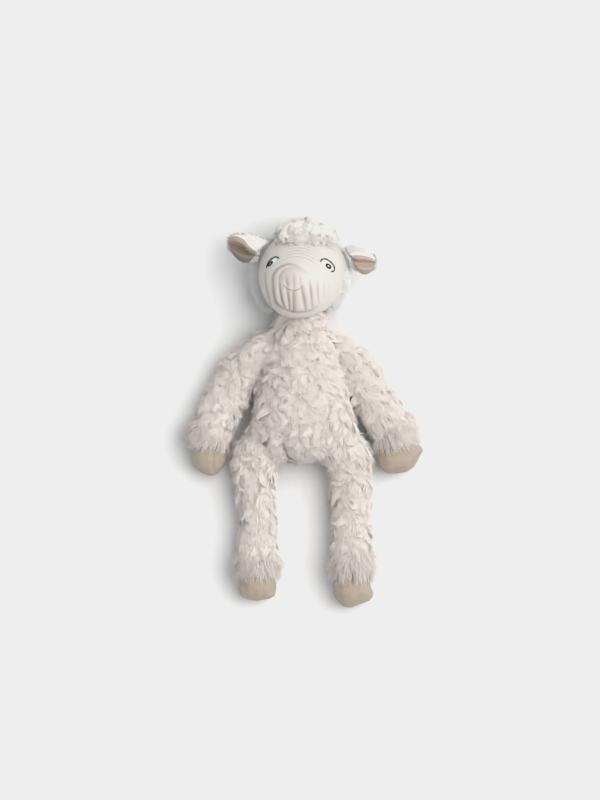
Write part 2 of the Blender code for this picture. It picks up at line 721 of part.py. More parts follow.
def build_nose_and_mouth(shop, face, carrier):
    nose = []
    mouth = []
    nose_across, nose_along = face_place(NOSE_PLACE_SHARES)
    mouth_top = nose_along - THREAD - GAP
    for step in range(STITCH_POINTS):
        share = step / (STITCH_POINTS - 1)
        sideways = 2 * share - 1
        nose.append((nose_across + NOSE_HALF_WIDTH * sideways, nose_along + NOSE_CURVE * sideways**2))
        mouth.append((nose_across, mouth_top - MOUTH_LENGTH * share))
    stitched_line(shop, face, nose, "nose_stitch", "brown_thread", carrier)
    stitched_line(shop, face, mouth, "mouth_stitch", "brown_thread", carrier)


def build_head(shop):
    neck = pivot("neck_root", neck_place(), shop.parts, shop.root)
    head = pivot("head_root", neck_place(), shop.parts, neck)
    build_neck(shop, neck)
    form = head_form()
    socket = shop.cutter(neck_ball_socket(), "head_socket")
    build_head_panels(shop, form, socket, head)
    build_tuft(shop, form, head)
    face = BVHTree.FromBMesh(form)
    build_eye(shop, face, Eye("left", LEFT_EYE_PLACE_SHARES, LEFT_EYE_TURN), head)
    build_eye(shop, face, Eye("right", RIGHT_EYE_PLACE_SHARES, RIGHT_EYE_TURN), head)
    build_nose_and_mouth(shop, face, head)
    for side, standoff, along, aim in (
        ("left", ACROSS * LEFT_EAR_STANDOFF, LEFT_EAR_ALONG, LEFT_EAR_AIM),
        ("right", -ACROSS * RIGHT_EAR_STANDOFF, RIGHT_EAR_ALONG, RIGHT_EAR_AIM),
    ):
        outward = standoff.normalized()
        from_side = outward * OVERRUN + Vector((0, head_centre().y + along, EAR_HEIGHT))
        place, _, _, _ = face.ray_cast(from_side, -outward)
        build_ear(shop, side, Ear(place + standoff, aim), head)
    form.free()


def neck_cuts(shop):
    """What the torso gives way to: the neck ball, and the head as it turns and nods."""
    heads = []
    to_neck = Matrix.Translation(neck_place())
    for nod_step in range(END_SWEEP_STEPS + 1):
        for side in (-1, 0, 1):
            head = grown(head_form(), SWING_GAP)
            nod = Matrix.Rotation(NOD_MOST * nod_step / END_SWEEP_STEPS, 4, ACROSS)
            turn = Matrix.Rotation(NECK_TURN_MOST * side, 4, -TO_FEET)
            bmesh.ops.transform(head, matrix=to_neck @ turn @ nod @ to_neck.inverted(), verts=head.verts)
            heads.append(head)
    return [
        shop.cutter(neck_ball_socket(), "neck_socket"),
        shop.cutter(wrapped(heads), "head_sweep"),
    ]


def all_limbs():
    arm = (ARM_BALL, ARM_HALF_WIDTH, ARM_HALF_DEPTH, ARM_CUFF_HALF_WIDTH, ARM_MOST)
    leg = (LEG_BALL, LEG_HALF_WIDTH, LEG_HALF_DEPTH, LEG_CUFF_HALF_WIDTH, LEG_MOST)
    left_shoulder = Vector(
        (BODY_HALF_WIDTH - LEFT_SHOULDER_INSET, BODY_TOP - LEFT_SHOULDER_DROP, SHOULDER_HEIGHT)
    )
    right_shoulder = Vector(
        (RIGHT_SHOULDER_INSET - BODY_HALF_WIDTH, BODY_TOP - RIGHT_SHOULDER_DROP, SHOULDER_HEIGHT)
    )
    left_hip = Vector((BODY_HALF_WIDTH - LEFT_HIP_INSET, BODY_TOP - BODY_LENGTH + HIP_RISE, HIP_HEIGHT))
    right_hip = Vector((RIGHT_HIP_INSET - BODY_HALF_WIDTH, left_hip.y, HIP_HEIGHT))
    return [
        Limb(
            "left_arm", "left_hand", left_shoulder,
            Vector((left_shoulder.x + LEFT_ARM_SPREAD, left_shoulder.y - LEFT_ARM_DROP, WRIST_HEIGHT)),
            arm, LEFT_ARM_BOW, HAND_REACH, LEFT_HAND_HALF_WIDTH,
        ),
        Limb(
            "right_arm", "right_hand", right_shoulder,
            Vector((right_shoulder.x - RIGHT_ARM_SPREAD, right_shoulder.y - RIGHT_ARM_DROP, WRIST_HEIGHT)),
            arm, RIGHT_ARM_BOW, HAND_REACH, RIGHT_HAND_HALF_WIDTH,
        ),
        Limb(
            "left_leg", "left_foot", left_hip,
            Vector((left_hip.x + LEFT_LEG_SPREAD, left_hip.y - LEG_DROP, ANKLE_HEIGHT)),
            leg, LEG_BOW, LEFT_FOOT_REACH, FOOT_HALF_WIDTH,
        ),
        Limb(
            "right_leg", "right_foot", right_hip,
            Vector((right_hip.x - RIGHT_LEG_SPREAD, right_hip.y - LEG_DROP, ANKLE_HEIGHT)),
            leg, LEG_BOW, RIGHT_FOOT_REACH, FOOT_HALF_WIDTH,
        ),
    ]


def main():
    clear_scene()
    shop = Workshop()
    limbs = all_limbs()
    build_torso(shop, limbs, neck_cuts(shop))
    for limb in limbs:
        build_limb(shop, limb)
    build_head(shop)


main()
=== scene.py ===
"""Looks of a plush sheep: curly fur over stuffed skins, a corduroy face, stitched eyes and suede hooves.

The toy lies on its back on a pale floor, its head to +Y and its face up. Left and right are its own.
"""

import json
import math

import bmesh
import bpy
import numpy as np
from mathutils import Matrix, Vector
from mathutils.bvhtree import BVHTree


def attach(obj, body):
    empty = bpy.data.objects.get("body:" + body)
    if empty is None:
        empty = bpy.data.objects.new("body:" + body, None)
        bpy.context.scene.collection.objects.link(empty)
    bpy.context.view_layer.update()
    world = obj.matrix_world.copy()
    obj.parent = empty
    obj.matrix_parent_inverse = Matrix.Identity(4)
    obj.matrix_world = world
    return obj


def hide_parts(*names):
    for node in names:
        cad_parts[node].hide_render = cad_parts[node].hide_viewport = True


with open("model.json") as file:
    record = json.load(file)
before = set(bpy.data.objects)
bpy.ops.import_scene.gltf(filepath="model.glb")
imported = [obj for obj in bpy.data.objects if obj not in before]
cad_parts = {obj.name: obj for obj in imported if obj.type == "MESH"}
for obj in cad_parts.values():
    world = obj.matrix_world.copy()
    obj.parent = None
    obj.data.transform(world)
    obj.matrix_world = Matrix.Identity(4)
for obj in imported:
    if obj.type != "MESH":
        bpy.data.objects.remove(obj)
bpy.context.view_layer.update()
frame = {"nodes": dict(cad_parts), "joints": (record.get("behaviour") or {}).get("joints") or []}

MM = 0.001
PIXEL = 0.9 * MM
PHOTO_MIDDLE = (303, 412.5)

CAMERA_PIXEL = (300, 400)
CAMERA_HEIGHT = 6.0
FLOOR_LIFT = 0.1 * MM

LIMBS = {
    "left_arm": "left_hand",
    "right_arm": "right_hand",
    "left_leg": "left_foot",
    "right_leg": "right_foot",
}


def joint_place(child):
    """Where the joint turns that carries a body."""
    return np.array(next(joint["pos_m"] for joint in frame["joints"] if joint["child"] == child))


def plan(across_px, down_px, height=0.0):
    """Where a pixel of the photograph lies in X and Y, for a point at a height above the floor."""
    near = 1 - height / CAMERA_HEIGHT
    across = CAMERA_PIXEL[0] - PHOTO_MIDDLE[0] + (across_px - CAMERA_PIXEL[0]) * near
    down = CAMERA_PIXEL[1] - PHOTO_MIDDLE[1] + (down_px - CAMERA_PIXEL[1]) * near
    return across * PIXEL, -down * PIXEL


def unit(vectors):
    return vectors / np.maximum(np.linalg.norm(vectors, axis=-1, keepdims=True), 1e-12)


def dot(a, b):
    return np.sum(a * b, axis=-1, keepdims=True)


def bell(away):
    """1 where away is 0, and less on both sides."""
    return np.exp(-(away**2))


def oval(places, middle, size):
    """0 in the middle of an oval and 1 on its edge."""
    return (((places - middle) / size) ** 2).sum(1)


def ease(value, low, high):
    """0 below low and 1 above high, with a smooth step between them."""
    t = np.clip((value - low) / (high - low), 0, 1)
    return t * t * (3 - 2 * t)


def wander(points, size, seed):
    """A smooth noise between about -1 and 1, made of a few sine waves, with waves of about the given size."""
    rng = np.random.default_rng(seed)
    total = np.zeros(points.shape[:-1])
    for _ in range(6):
        direction = rng.normal(size=3)
        wave = direction / np.linalg.norm(direction) * rng.uniform(0.7, 1.5) * 2 * math.pi / size
        total += np.sin(points @ wave + rng.uniform(0, 2 * math.pi))
    return total / 3


# Meshes from arrays

def placed(name, data):
    """A new object in the scene."""
    made = bpy.data.objects.new(name, data)
    bpy.context.scene.collection.objects.link(made)
    return made


def rows_of(items, field, width, kind=float):
    """A field of all the items of a mesh, one row each."""
    values = np.empty(len(items) * width, kind)
    items.foreach_get(field, values)
    return values.reshape(-1, width)


def mesh_object(name, points, faces, shade=None, atlas=None, normals=None):
    """A smooth piece from points and a list of face arrays, with its shade, UV layer and normals."""
    mesh = bpy.data.meshes.new(name)
    mesh.vertices.add(len(points))
    mesh.vertices.foreach_set("co", np.asarray(points, np.float32).ravel())
    corners = np.concatenate([part.ravel() for part in faces]).astype(np.int32)
    sizes = np.concatenate([np.full(len(part), part.shape[1]) for part in faces])
    starts = np.concatenate([[0], np.cumsum(sizes)[:-1]]).astype(np.int32)
    mesh.loops.add(len(corners))
    mesh.loops.foreach_set("vertex_index", corners)
    mesh.polygons.add(len(sizes))
    mesh.polygons.foreach_set("loop_start", starts)
    mesh.polygons.foreach_set("use_smooth", np.ones(len(sizes), bool))
    mesh.update(calc_edges=True)
    if shade is not None:
        layer = mesh.attributes.new("shade", "FLOAT", "POINT")
        layer.data.foreach_set("value", np.asarray(shade, np.float32))
    if atlas is not None:
        mesh.uv_layers.new(name="OFBake").data.foreach_set("uv", atlas.astype(np.float32).ravel())
    if normals is not None:
        mesh.normals_split_custom_set_from_vertices(normals.astype(np.float32))
    return placed(name, mesh)


def dress(piece, material, body, slot, *nodes):
    """Gives a piece its material and its body, and hides the nodes it stands for. The slot is not used."""
    piece.data.materials.clear()
    piece.data.materials.append(material)
    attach(piece, body)
    if nodes:
        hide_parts(*nodes)
    return piece


class Tubes:
    """Many closed tapered tubes, gathered into one mesh."""

    def __init__(self):
        self.points, self.shades, self.normals = [], [], []
        self.quads, self.quad_cells = [], []
        self.caps, self.cap_cells = [], []
        self.count = 0
        self.tubes = 0

    def add(self, centres, across, up, wide, deep, sides, shade, facing=None, roundness=1.0):
        """Rows of centres (tubes, rings, 3) with the two half axes of each ring and its shade.

        Fibres lie so close that they shade as one soft surface, so their normals lean to the way it faces.
        """
        many, rings = centres.shape[:2]
        angles = 2 * math.pi * np.arange(sides) / sides
        sideways = np.cos(angles)[None, None, :, None] * (wide[..., None] * across)[:, :, None, :]
        upwards = np.sin(angles)[None, None, :, None] * (deep[..., None] * up)[:, :, None, :]
        self.points.append((centres[:, :, None, :] + sideways + upwards).reshape(-1, 3))
        normals = unit(sideways + upwards)
        if facing is not None:
            normals = unit(roundness * normals + (1 - roundness) * facing[:, :, None, :])
        self.normals.append(normals.reshape(-1, 3))
        index = self.count + np.arange(many * rings * sides).reshape(many, rings, sides)
        near, far = index[:, :-1], index[:, 1:]
        quads = np.stack([near, np.roll(near, -1, 2), np.roll(far, -1, 2), far], -1)
        self.quads.append(quads.reshape(-1, 4))
        self.caps.append(np.concatenate([index[:, 0, ::-1], index[:, -1]]))
        self.shades.append(np.repeat(shade.reshape(-1), sides))
        number = self.tubes + np.arange(many)
        row = np.repeat(np.arange(rings - 1), sides)
        column = np.tile(np.arange(sides), rings - 1)
        corner_u = np.stack([row, row, row + 1, row + 1], -1) / (rings - 1)
        corner_v = np.stack([column, column + 1, column + 1, column], -1) / sides
        uv = np.stack([corner_u, corner_v], -1)
        self.quad_cells.append((np.repeat(number, len(uv)), np.tile(uv, (many, 1, 1))))
        flat = np.stack([0.02 + 0.01 * np.cos(angles), 0.5 + 0.2 * np.sin(angles)], -1)
        self.cap_cells.append((np.tile(number, 2), np.tile(flat, (2 * many, 1, 1))))
        self.count += many * rings * sides
        self.tubes += many

    def atlas(self, number, uv):
        """Puts each tube's strip into its own cell of the UV square."""
        columns = max(1, int(math.sqrt(self.tubes / 4)))
        rows = -(-self.tubes // columns)
        cell = np.stack([number % columns, number // columns], -1)[:, None, :]
        return (cell + 0.04 + 0.92 * uv) / np.array([columns, rows])

    def piece(self, name):
        uvs = [self.atlas(number, uv).reshape(-1, 2) for number, uv in self.quad_cells + self.cap_cells]
        return mesh_object(
            name, np.concatenate(self.points), [np.concatenate(self.quads), *self.caps],
            np.concatenate(self.shades), np.concatenate(uvs), np.concatenate(self.normals),
        )


# Surfaces to grow fur on

class Skin:
    """A closed surface: its mesh, points, triangles, normals and a tree to search."""

    def __init__(self, mesh):
        self.mesh = mesh
        self.read()

    @classmethod
    def around(cls, nodes, voxel, rounds):
        """The smoothed outer surface of some CAD nodes."""
        meshes = [frame["nodes"][node].data for node in nodes]
        for mesh in meshes:
            mesh.calc_loop_triangles()
        return cls.remeshed([
            (rows_of(mesh.vertices, "co", 3), rows_of(mesh.loop_triangles, "vertices", 3, np.int32))
            for mesh in meshes
        ], voxel, rounds)

    @classmethod
    def remeshed(cls, parts, voxel, rounds):
        """The skin around overlapping closed surfaces, each a pair of points and triangles."""
        starts = np.cumsum([0] + [len(points) for points, _ in parts])
        points = np.concatenate([points for points, _ in parts])
        faces = np.concatenate([triangles + start for (_, triangles), start in zip(parts, starts)])
        rough = mesh_object("rough_skin", points, [faces])
        remesh = rough.modifiers.new("remesh", "REMESH")
        remesh.mode = "VOXEL"
        remesh.voxel_size = voxel
        smooth = rough.modifiers.new("smooth", "SMOOTH")
        smooth.iterations = rounds
        smooth.factor = 0.6
        bpy.context.view_layer.update()
        evaluated = rough.evaluated_get(bpy.context.evaluated_depsgraph_get())
        mesh = bpy.data.meshes.new_from_object(evaluated)
        bpy.data.objects.remove(rough)
        return cls(mesh)

    def copy(self):
        return Skin(self.mesh.copy())

    def read(self):
        self.mesh.calc_loop_triangles()
        self.points = rows_of(self.mesh.vertices, "co", 3)
        self.triangles = rows_of(self.mesh.loop_triangles, "vertices", 3, np.int64)
        self.tree = BVHTree.FromPolygons(self.points.tolist(), self.triangles.tolist())
        corner = self.points[self.triangles]
        cross = np.cross(corner[:, 1] - corner[:, 0], corner[:, 2] - corner[:, 0])
        self.areas = np.linalg.norm(cross, axis=1) / 2
        self.face_normals = unit(cross)

    def inset(self, distance):
        """Moves the whole skin in along its normals."""
        self.reshaped(self.points - distance * rows_of(self.mesh.vertices, "normal", 3, np.float32))

    def reshaped(self, places):
        self.mesh.vertices.foreach_set("co", places.astype(np.float32).ravel())
        self.mesh.update()
        self.read()

    def relaxed(self, weights, rounds):
        """Evens the skin out where the weights are high."""
        edges = rows_of(self.mesh.edges, "vertices", 2, np.int32)
        one, other = edges.T
        many = len(self.points)
        shared = np.bincount(edges.ravel(), minlength=many)[:, None]
        places = self.points
        for _ in range(rounds):
            around = np.stack([
                np.bincount(one, places[other, axis], many) + np.bincount(other, places[one, axis], many)
                for axis in range(3)
            ], -1)
            places = places + weights * (around / shared - places)
        self.reshaped(places)

    def spread(self, how_many, rng):
        """Points spread evenly at random over the surface, with their normals."""
        chosen = rng.choice(len(self.areas), how_many, p=self.areas / self.areas.sum())
        a, b = rng.random((2, how_many, 1))
        flip = a + b > 1
        a, b = np.where(flip, 1 - a, a), np.where(flip, 1 - b, b)
        corner = self.points[self.triangles[chosen]]
        places = corner[:, 0] + a * (corner[:, 1] - corner[:, 0]) + b * (corner[:, 2] - corner[:, 0])
        return places, self.face_normals[chosen]

    def settled(self, spacing, rng, keep=None):
        """Spread points that are no nearer to each other than the spacing and that keep() wants."""
        area = self.areas.sum()
        places, normals = self.spread(int(5 * area / spacing**2), rng)
        if keep:
            wanted = keep(places, normals)
            places, normals = places[wanted], normals[wanted]
        cells = {}
        chosen = []
        for number, place in enumerate(places):
            x, y, z = (int(math.floor(c / spacing)) for c in place)
            near = (
                other
                for i in (x - 1, x, x + 1)
                for j in (y - 1, y, y + 1)
                for k in (z - 1, z, z + 1)
                for other in cells.get((i, j, k), ())
            )
            if all(np.sum((places[other] - place) ** 2) > spacing**2 for other in near):
                cells.setdefault((x, y, z), []).append(number)
                chosen.append(number)
        return places[chosen], normals[chosen]

    def onto(self, places):
        """The nearest points of the surface and the normals there."""
        found = [self.tree.find_nearest(Vector(place)) for place in places]
        return np.array([hit[0] for hit in found]), np.array([hit[1] for hit in found])


# Fur

LOCK_RINGS = 8
LOCK_SWING = 0.55
CORE_SIDES = 6
CORE_DROP = 0.7 * MM
ROOT_DEPTH = 0.4 * MM
STRAND_SIDES = 3
STRAND_TAPER = np.array([0.9, 1.15, 1.0, 0.25])
STRAND_SPREAD = 1.3 * MM
SWAY = 0.35 * MM
BOB = 0.3 * MM


def turned_up(facing, amount):
    """Directions turned up to the sky a little, but not where they face the floor."""
    return unit(facing + amount * ease(facing[..., 2:], -0.95, -0.4) * [0, 0, 1])


def march(skin, roots, normals, headings, length, turning, rings):
    """Paths that start at the roots, run over the skin and turn as they go."""
    places = [roots]
    ups = [normals]
    heading = unit(headings - dot(headings, normals) * normals)
    step = (length / (rings - 1))[:, None]
    for ring in range(1, rings):
        side = np.cross(ups[-1], heading)
        bend = (turning[:, ring - 1] / (rings - 1))[:, None]
        heading = unit(heading * np.cos(bend) + side * np.sin(bend))
        place, normal = skin.onto(places[-1] + heading * step)
        normal = unit(0.5 * ups[-1] + 0.5 * normal)
        heading = unit(heading - dot(heading, normal) * normal)
        places.append(place)
        ups.append(normal)
    return np.stack(places, 1), np.stack(ups, 1)


def along_rows(rows, shares):
    """Values of each row of (n, rings, ...) read at shares (n, m, samples) of its length."""
    last = rows.shape[1] - 1
    at = np.clip(shares, 0, 1) * last
    low = np.minimum(at.astype(int), last - 1)
    part = at - low
    number = np.arange(rows.shape[0])[:, None, None]
    if rows.ndim == 3:
        part = part[..., None]
    return rows[number, low] * (1 - part) + rows[number, low + 1] * part


def lay_locks(gather, skin, roots, normals, flow, rng, depth, length, width, lift, curl, strands, radius, sky, stray,
              turn=None):
    """Soft locks of fur, each a slim core under many fine strands that draw together towards its tip.

    The skin is the coat's outer surface, and the locks start at a depth below it. They shade as the surface does,
    turned up to the sky a little.
    """
    many = len(roots)
    swing = rng.normal(0, LOCK_SWING if turn is None else 0, many)[:, None]
    side = np.cross(normals, flow)
    heading = flow * np.cos(swing) + side * np.sin(swing)
    if turn is None:
        turn = rng.normal(0, curl, many)
    share = np.linspace(0, 1, LOCK_RINGS)
    turning = turn[:, None] * (0.5 + share[None, 1:])
    own_length = length * rng.uniform(0.7, 1.25, many)
    paths, ups = march(skin, roots, normals, heading, own_length, turning, LOCK_RINGS)
    own_lift = lift * (rng.uniform(0.7, 1.15, many) + 0.4 * (rng.random(many) < 0.15))[:, None]
    height = own_lift * (1 - (1 - share) ** 1.8) * (1 - 0.15 * share**3) - depth - ROOT_DEPTH
    height = height + stray * (rng.random(many) < 0.25)[:, None] * share**2
    centres = paths + ups * height[..., None]
    tangents = unit(np.gradient(centres, axis=1))
    across = unit(np.cross(ups, tangents))
    up = np.cross(tangents, across)
    own_width = (width * rng.uniform(0.75, 1.25, many))[:, None]
    taper = (0.8 + 0.2 * np.sin(math.pi * np.minimum(1, share * 1.3))) * (1 - share**2.2) ** 0.7 + 0.05
    wide = own_width * taper
    tone = rng.normal(0, 0.05, many)[:, None] + 0.05 * wander(roots, 30 * MM, 5)[:, None]
    facing = turned_up(ups, sky)
    gather.add(
        centres - ups * CORE_DROP, across, up, wide * 0.5, wide * 0.2, CORE_SIDES, 0.5 + 0.3 * share + tone,
        facing, roundness=0.2,
    )
    samples = len(STRAND_TAPER)
    first = rng.uniform(0, 0.3, (many, strands))
    last = rng.uniform(0.65, 1.05, (many, strands))
    own = first[..., None] + (last - first)[..., None] * np.linspace(0, 1, samples)
    gather_in = rng.uniform(0.35, 0.9, (many, 1, 1)) * own**1.5
    beside = rng.normal(0, 0.95, (many, strands))[..., None] * (1 - gather_in)
    above = rng.uniform(-0.5, 1, (many, strands))[..., None] * (1 - 0.4 * gather_in)
    wave = rng.uniform(0, 2 * math.pi, (2, many, strands))
    pace = rng.uniform(3, 7, (many, strands))[..., None]
    sway = SWAY * np.sin(wave[0][..., None] + pace * own)
    bob = BOB * np.sin(wave[1][..., None] + pace * own)
    axis_a = along_rows(across, own)
    axis_b = along_rows(up, own)
    wide_here = own_width[..., None] * (0.85 + 0.15 * own)
    paths = along_rows(centres, own)
    paths = paths + axis_a * (wide_here * beside + sway)[..., None] + axis_b * (STRAND_SPREAD * above + bob)[..., None]
    thick = np.broadcast_to(radius * STRAND_TAPER, (many * strands, samples))
    flat = (many * strands, samples, 3)
    strand_tone = tone[:, :, None] + rng.normal(0, 0.06, (many, strands, 1)) + 0.08 * above
    gather.add(
        paths.reshape(flat), axis_a.reshape(flat), axis_b.reshape(flat), thick, thick, STRAND_SIDES,
        (0.48 + 0.36 * own + strand_tone).reshape(many * strands, samples),
        along_rows(facing, own).reshape(flat), roundness=0.2,
    )


def lay_straight(gather, roots, directions, facing, ends_sag, rng, length, clumps, radius, tone, samples=4):
    """Straight fibres from the roots, drawn together a little in clumps that share a direction."""
    many = len(roots)
    share = np.linspace(0, 1, samples)
    spread = rng.normal(0, clumps, (many, 3))
    heading = unit(directions + spread)
    own_length = (length * rng.uniform(0.7, 1.15, many))[:, None, None]
    centres = roots[:, None] + heading[:, None] * own_length * share[None, :, None]
    centres = centres + ends_sag[:, None] * own_length * (share**2)[None, :, None]
    tangents = unit(np.gradient(centres, axis=1))
    helper = unit(np.cross(tangents, rng.normal(size=(many, 1, 3))))
    up = np.cross(tangents, helper)
    thick = radius * np.interp(share, [0, 0.5, 1], [1, 1, 0.25])
    thick = np.broadcast_to(thick, (many, samples))
    shade = tone + 0.35 * share[None] + rng.normal(0, 0.09, (many, 1))
    facing = np.broadcast_to(turned_up(facing, 0.5)[:, None], centres.shape)
    gather.add(centres, helper, up, thick, thick, STRAND_SIDES, shade, facing, roundness=0.25)


# Materials

class Look:
    """A material under construction."""

    def __init__(self, name, roughness, sheen):
        self.material = bpy.data.materials.new(name)
        self.material.use_nodes = True
        self.nodes = self.material.node_tree.nodes
        self.shader = self.nodes["Principled BSDF"]
        self.shader.inputs["Roughness"].default_value = roughness
        self.shader.inputs["Sheen Weight"].default_value = sheen
        self.shader.inputs["Sheen Roughness"].default_value = 0.5
        self.shader.inputs["Specular IOR Level"].default_value = 0.2

    def link(self, source, node, socket):
        self.material.node_tree.links.new(source, node.inputs[socket])

    def noise(self, scale, detail):
        node = self.nodes.new("ShaderNodeTexNoise")
        node.inputs["Scale"].default_value = scale
        node.inputs["Detail"].default_value = detail
        where = self.nodes.new("ShaderNodeTexCoord")
        self.link(where.outputs["Object"], node, "Vector")
        return node.outputs["Fac"]

    def by_shade(self, stops):
        """A colour between the stops, each a shade and a colour."""
        shade = self.nodes.new("ShaderNodeAttribute")
        shade.attribute_name = "shade"
        node = self.nodes.new("ShaderNodeValToRGB")
        elements = node.color_ramp.elements
        while len(elements) < len(stops):
            elements.new(0.5)
        for element, (place, colour) in zip(elements, stops):
            element.position = place
            element.color = (*colour, 1)
        self.link(shade.outputs["Fac"], node, "Fac")
        return node.outputs["Color"]

    def coloured(self, colour, tint, patches, pull):
        """Gives the shader a colour that a noise pulls towards a tint in patches."""
        mix = self.nodes.new("ShaderNodeMix")
        mix.data_type = "RGBA"
        mix.blend_type = "MIX"
        scaled = self.nodes.new("ShaderNodeMath")
        scaled.operation = "MULTIPLY"
        scaled.inputs[1].default_value = pull
        self.link(self.noise(patches, 2), scaled, 0)
        self.link(scaled.outputs[0], mix, "Factor")
        self.link(colour, mix, "A")
        mix.inputs["B"].default_value = (*tint, 1)
        self.link(mix.outputs["Result"], self.shader, "Base Color")

    def grained(self, scale, depth):
        """Gives the shader a fine grain of fibres."""
        node = self.nodes.new("ShaderNodeBump")
        node.inputs["Strength"].default_value = 0.5
        node.inputs["Distance"].default_value = depth
        self.link(self.noise(scale, 4), node, "Height")
        self.link(node.outputs["Normal"], self.shader, "Normal")


def fur_material(name, deep, middle, tip, tint, nap=0):
    """Fur or pile that is darker at its roots and paler at its tips, and a little uneven in colour."""
    look = Look(name, 0.85, 0.15)
    look.coloured(look.by_shade(((0, deep), (0.5, middle), (1, tip))), tint, 55, 0.25)
    if nap:
        look.grained(1800, nap)
    return look.material


def cloth_material(name, colour, tint, grain, depth, roughness=0.9, sheen=0.25, patches=40, pull=0.3):
    """Short-napped cloth: a soft uneven colour and a fine grain of fibres."""
    look = Look(name, roughness, sheen)
    base = look.nodes.new("ShaderNodeRGB")
    base.outputs[0].default_value = (*colour, 1)
    look.coloured(base.outputs[0], tint, patches, pull)
    look.grained(grain, depth)
    return look.material


def thread_material(name, colour, tint):
    return cloth_material(name, colour, tint, 2500, 0.1 * MM, 0.6, 0.1)


def corduroy_material(groove, slope, wale, tint):
    """Corduroy: pale napped wales and darker ground cloth in the grooves between them."""
    look = Look("corduroy", 0.9, 0.3)
    look.coloured(look.by_shade(((0.2, groove), (0.6, slope), (0.9, wale))), tint, 60, 0.2)
    look.grained(1500, 0.12 * MM)
    return look.material


CREAM = fur_material(
    "cream_curls", (0.80, 0.69, 0.60), (0.88, 0.80, 0.73), (0.92, 0.86, 0.81), (0.84, 0.75, 0.67)
)
CROWN = fur_material(
    "crown_curls", (0.81, 0.745, 0.69), (0.885, 0.84, 0.795), (0.92, 0.885, 0.85), (0.85, 0.785, 0.73)
)
PINK = fur_material(
    "pinkish_fibres", (0.68, 0.58, 0.52), (0.84, 0.755, 0.70), (0.93, 0.875, 0.835), (0.84, 0.73, 0.68)
)
WHITE = fur_material(
    "white_plush", (0.78, 0.75, 0.72), (0.90, 0.88, 0.86), (0.94, 0.93, 0.92), (0.90, 0.87, 0.84)
)
UNDER = cloth_material("fur_backing", (0.87, 0.80, 0.74), (0.81, 0.735, 0.67), 600, 0.6 * MM)
CORDUROY = corduroy_material((0.36, 0.31, 0.26), (0.55, 0.505, 0.46), (0.665, 0.635, 0.60), (0.66, 0.61, 0.55))
PLUSH_BACKING = cloth_material("plush_backing", (0.80, 0.77, 0.73), (0.7, 0.66, 0.6), 900, 0.3 * MM)
SUEDE = cloth_material(
    "suede", (0.475, 0.395, 0.32), (0.32, 0.26, 0.21), 2200, 0.12 * MM, patches=130, pull=0.6
)
# The ear linings' velvet; its darker stops give the painted shade on the linings
VELVET = fur_material(
    "ear_velvet", (0.16, 0.125, 0.10), (0.40, 0.315, 0.25), (0.66, 0.545, 0.45), (0.34, 0.265, 0.21), 0.1 * MM
)
BLACK = thread_material("black_thread", (0.02, 0.02, 0.025), (0.05, 0.05, 0.05))
WHITE_THREAD = thread_material("white_thread", (0.9, 0.9, 0.9), (0.8, 0.8, 0.8))
BROWN = thread_material("brown_thread", (0.55, 0.34, 0.23), (0.42, 0.25, 0.16))


# Head

HEAD_MIDDLE = np.array([0, 124.5 * MM, 38 * MM])
NOSE_PIXEL = (294, 287)
NOSE_HEIGHT = 88 * MM
NOSE = np.array([*plan(*NOSE_PIXEL, NOSE_HEIGHT), NOSE_HEIGHT])
HEAD_RADIUS = 40 * MM
HEAD_SEAM_DEPTH = 1.0 * MM
HEAD_FIBRES = 19500
ARC_PITCH = 3.76 * MM
FIRST_ARC = 31 * MM
FIRST_CHEEK_ARC = 48 * MM
ARC_DEPTH = 0.6 * MM
DIP_WIDTH = 2.6
RAY_START = 200 * MM
RAYS_AT_ONCE = 4096
RAY_BLUR = 0.0025
# Ovals on the face, each a middle and a half size in pixels of the photograph
NOSE_PAD = ((291, 276.5), (9.5, 8))
NOSE_ROLL = ((293, 284), (1, 1.05))
ROLL_RADIUS, ROLL_HALF_WIDTH = 18.5, 3.2
# The oval over which the muzzle is coloured darker
DARKER_MUZZLE = ((297, 297), (24, 17))

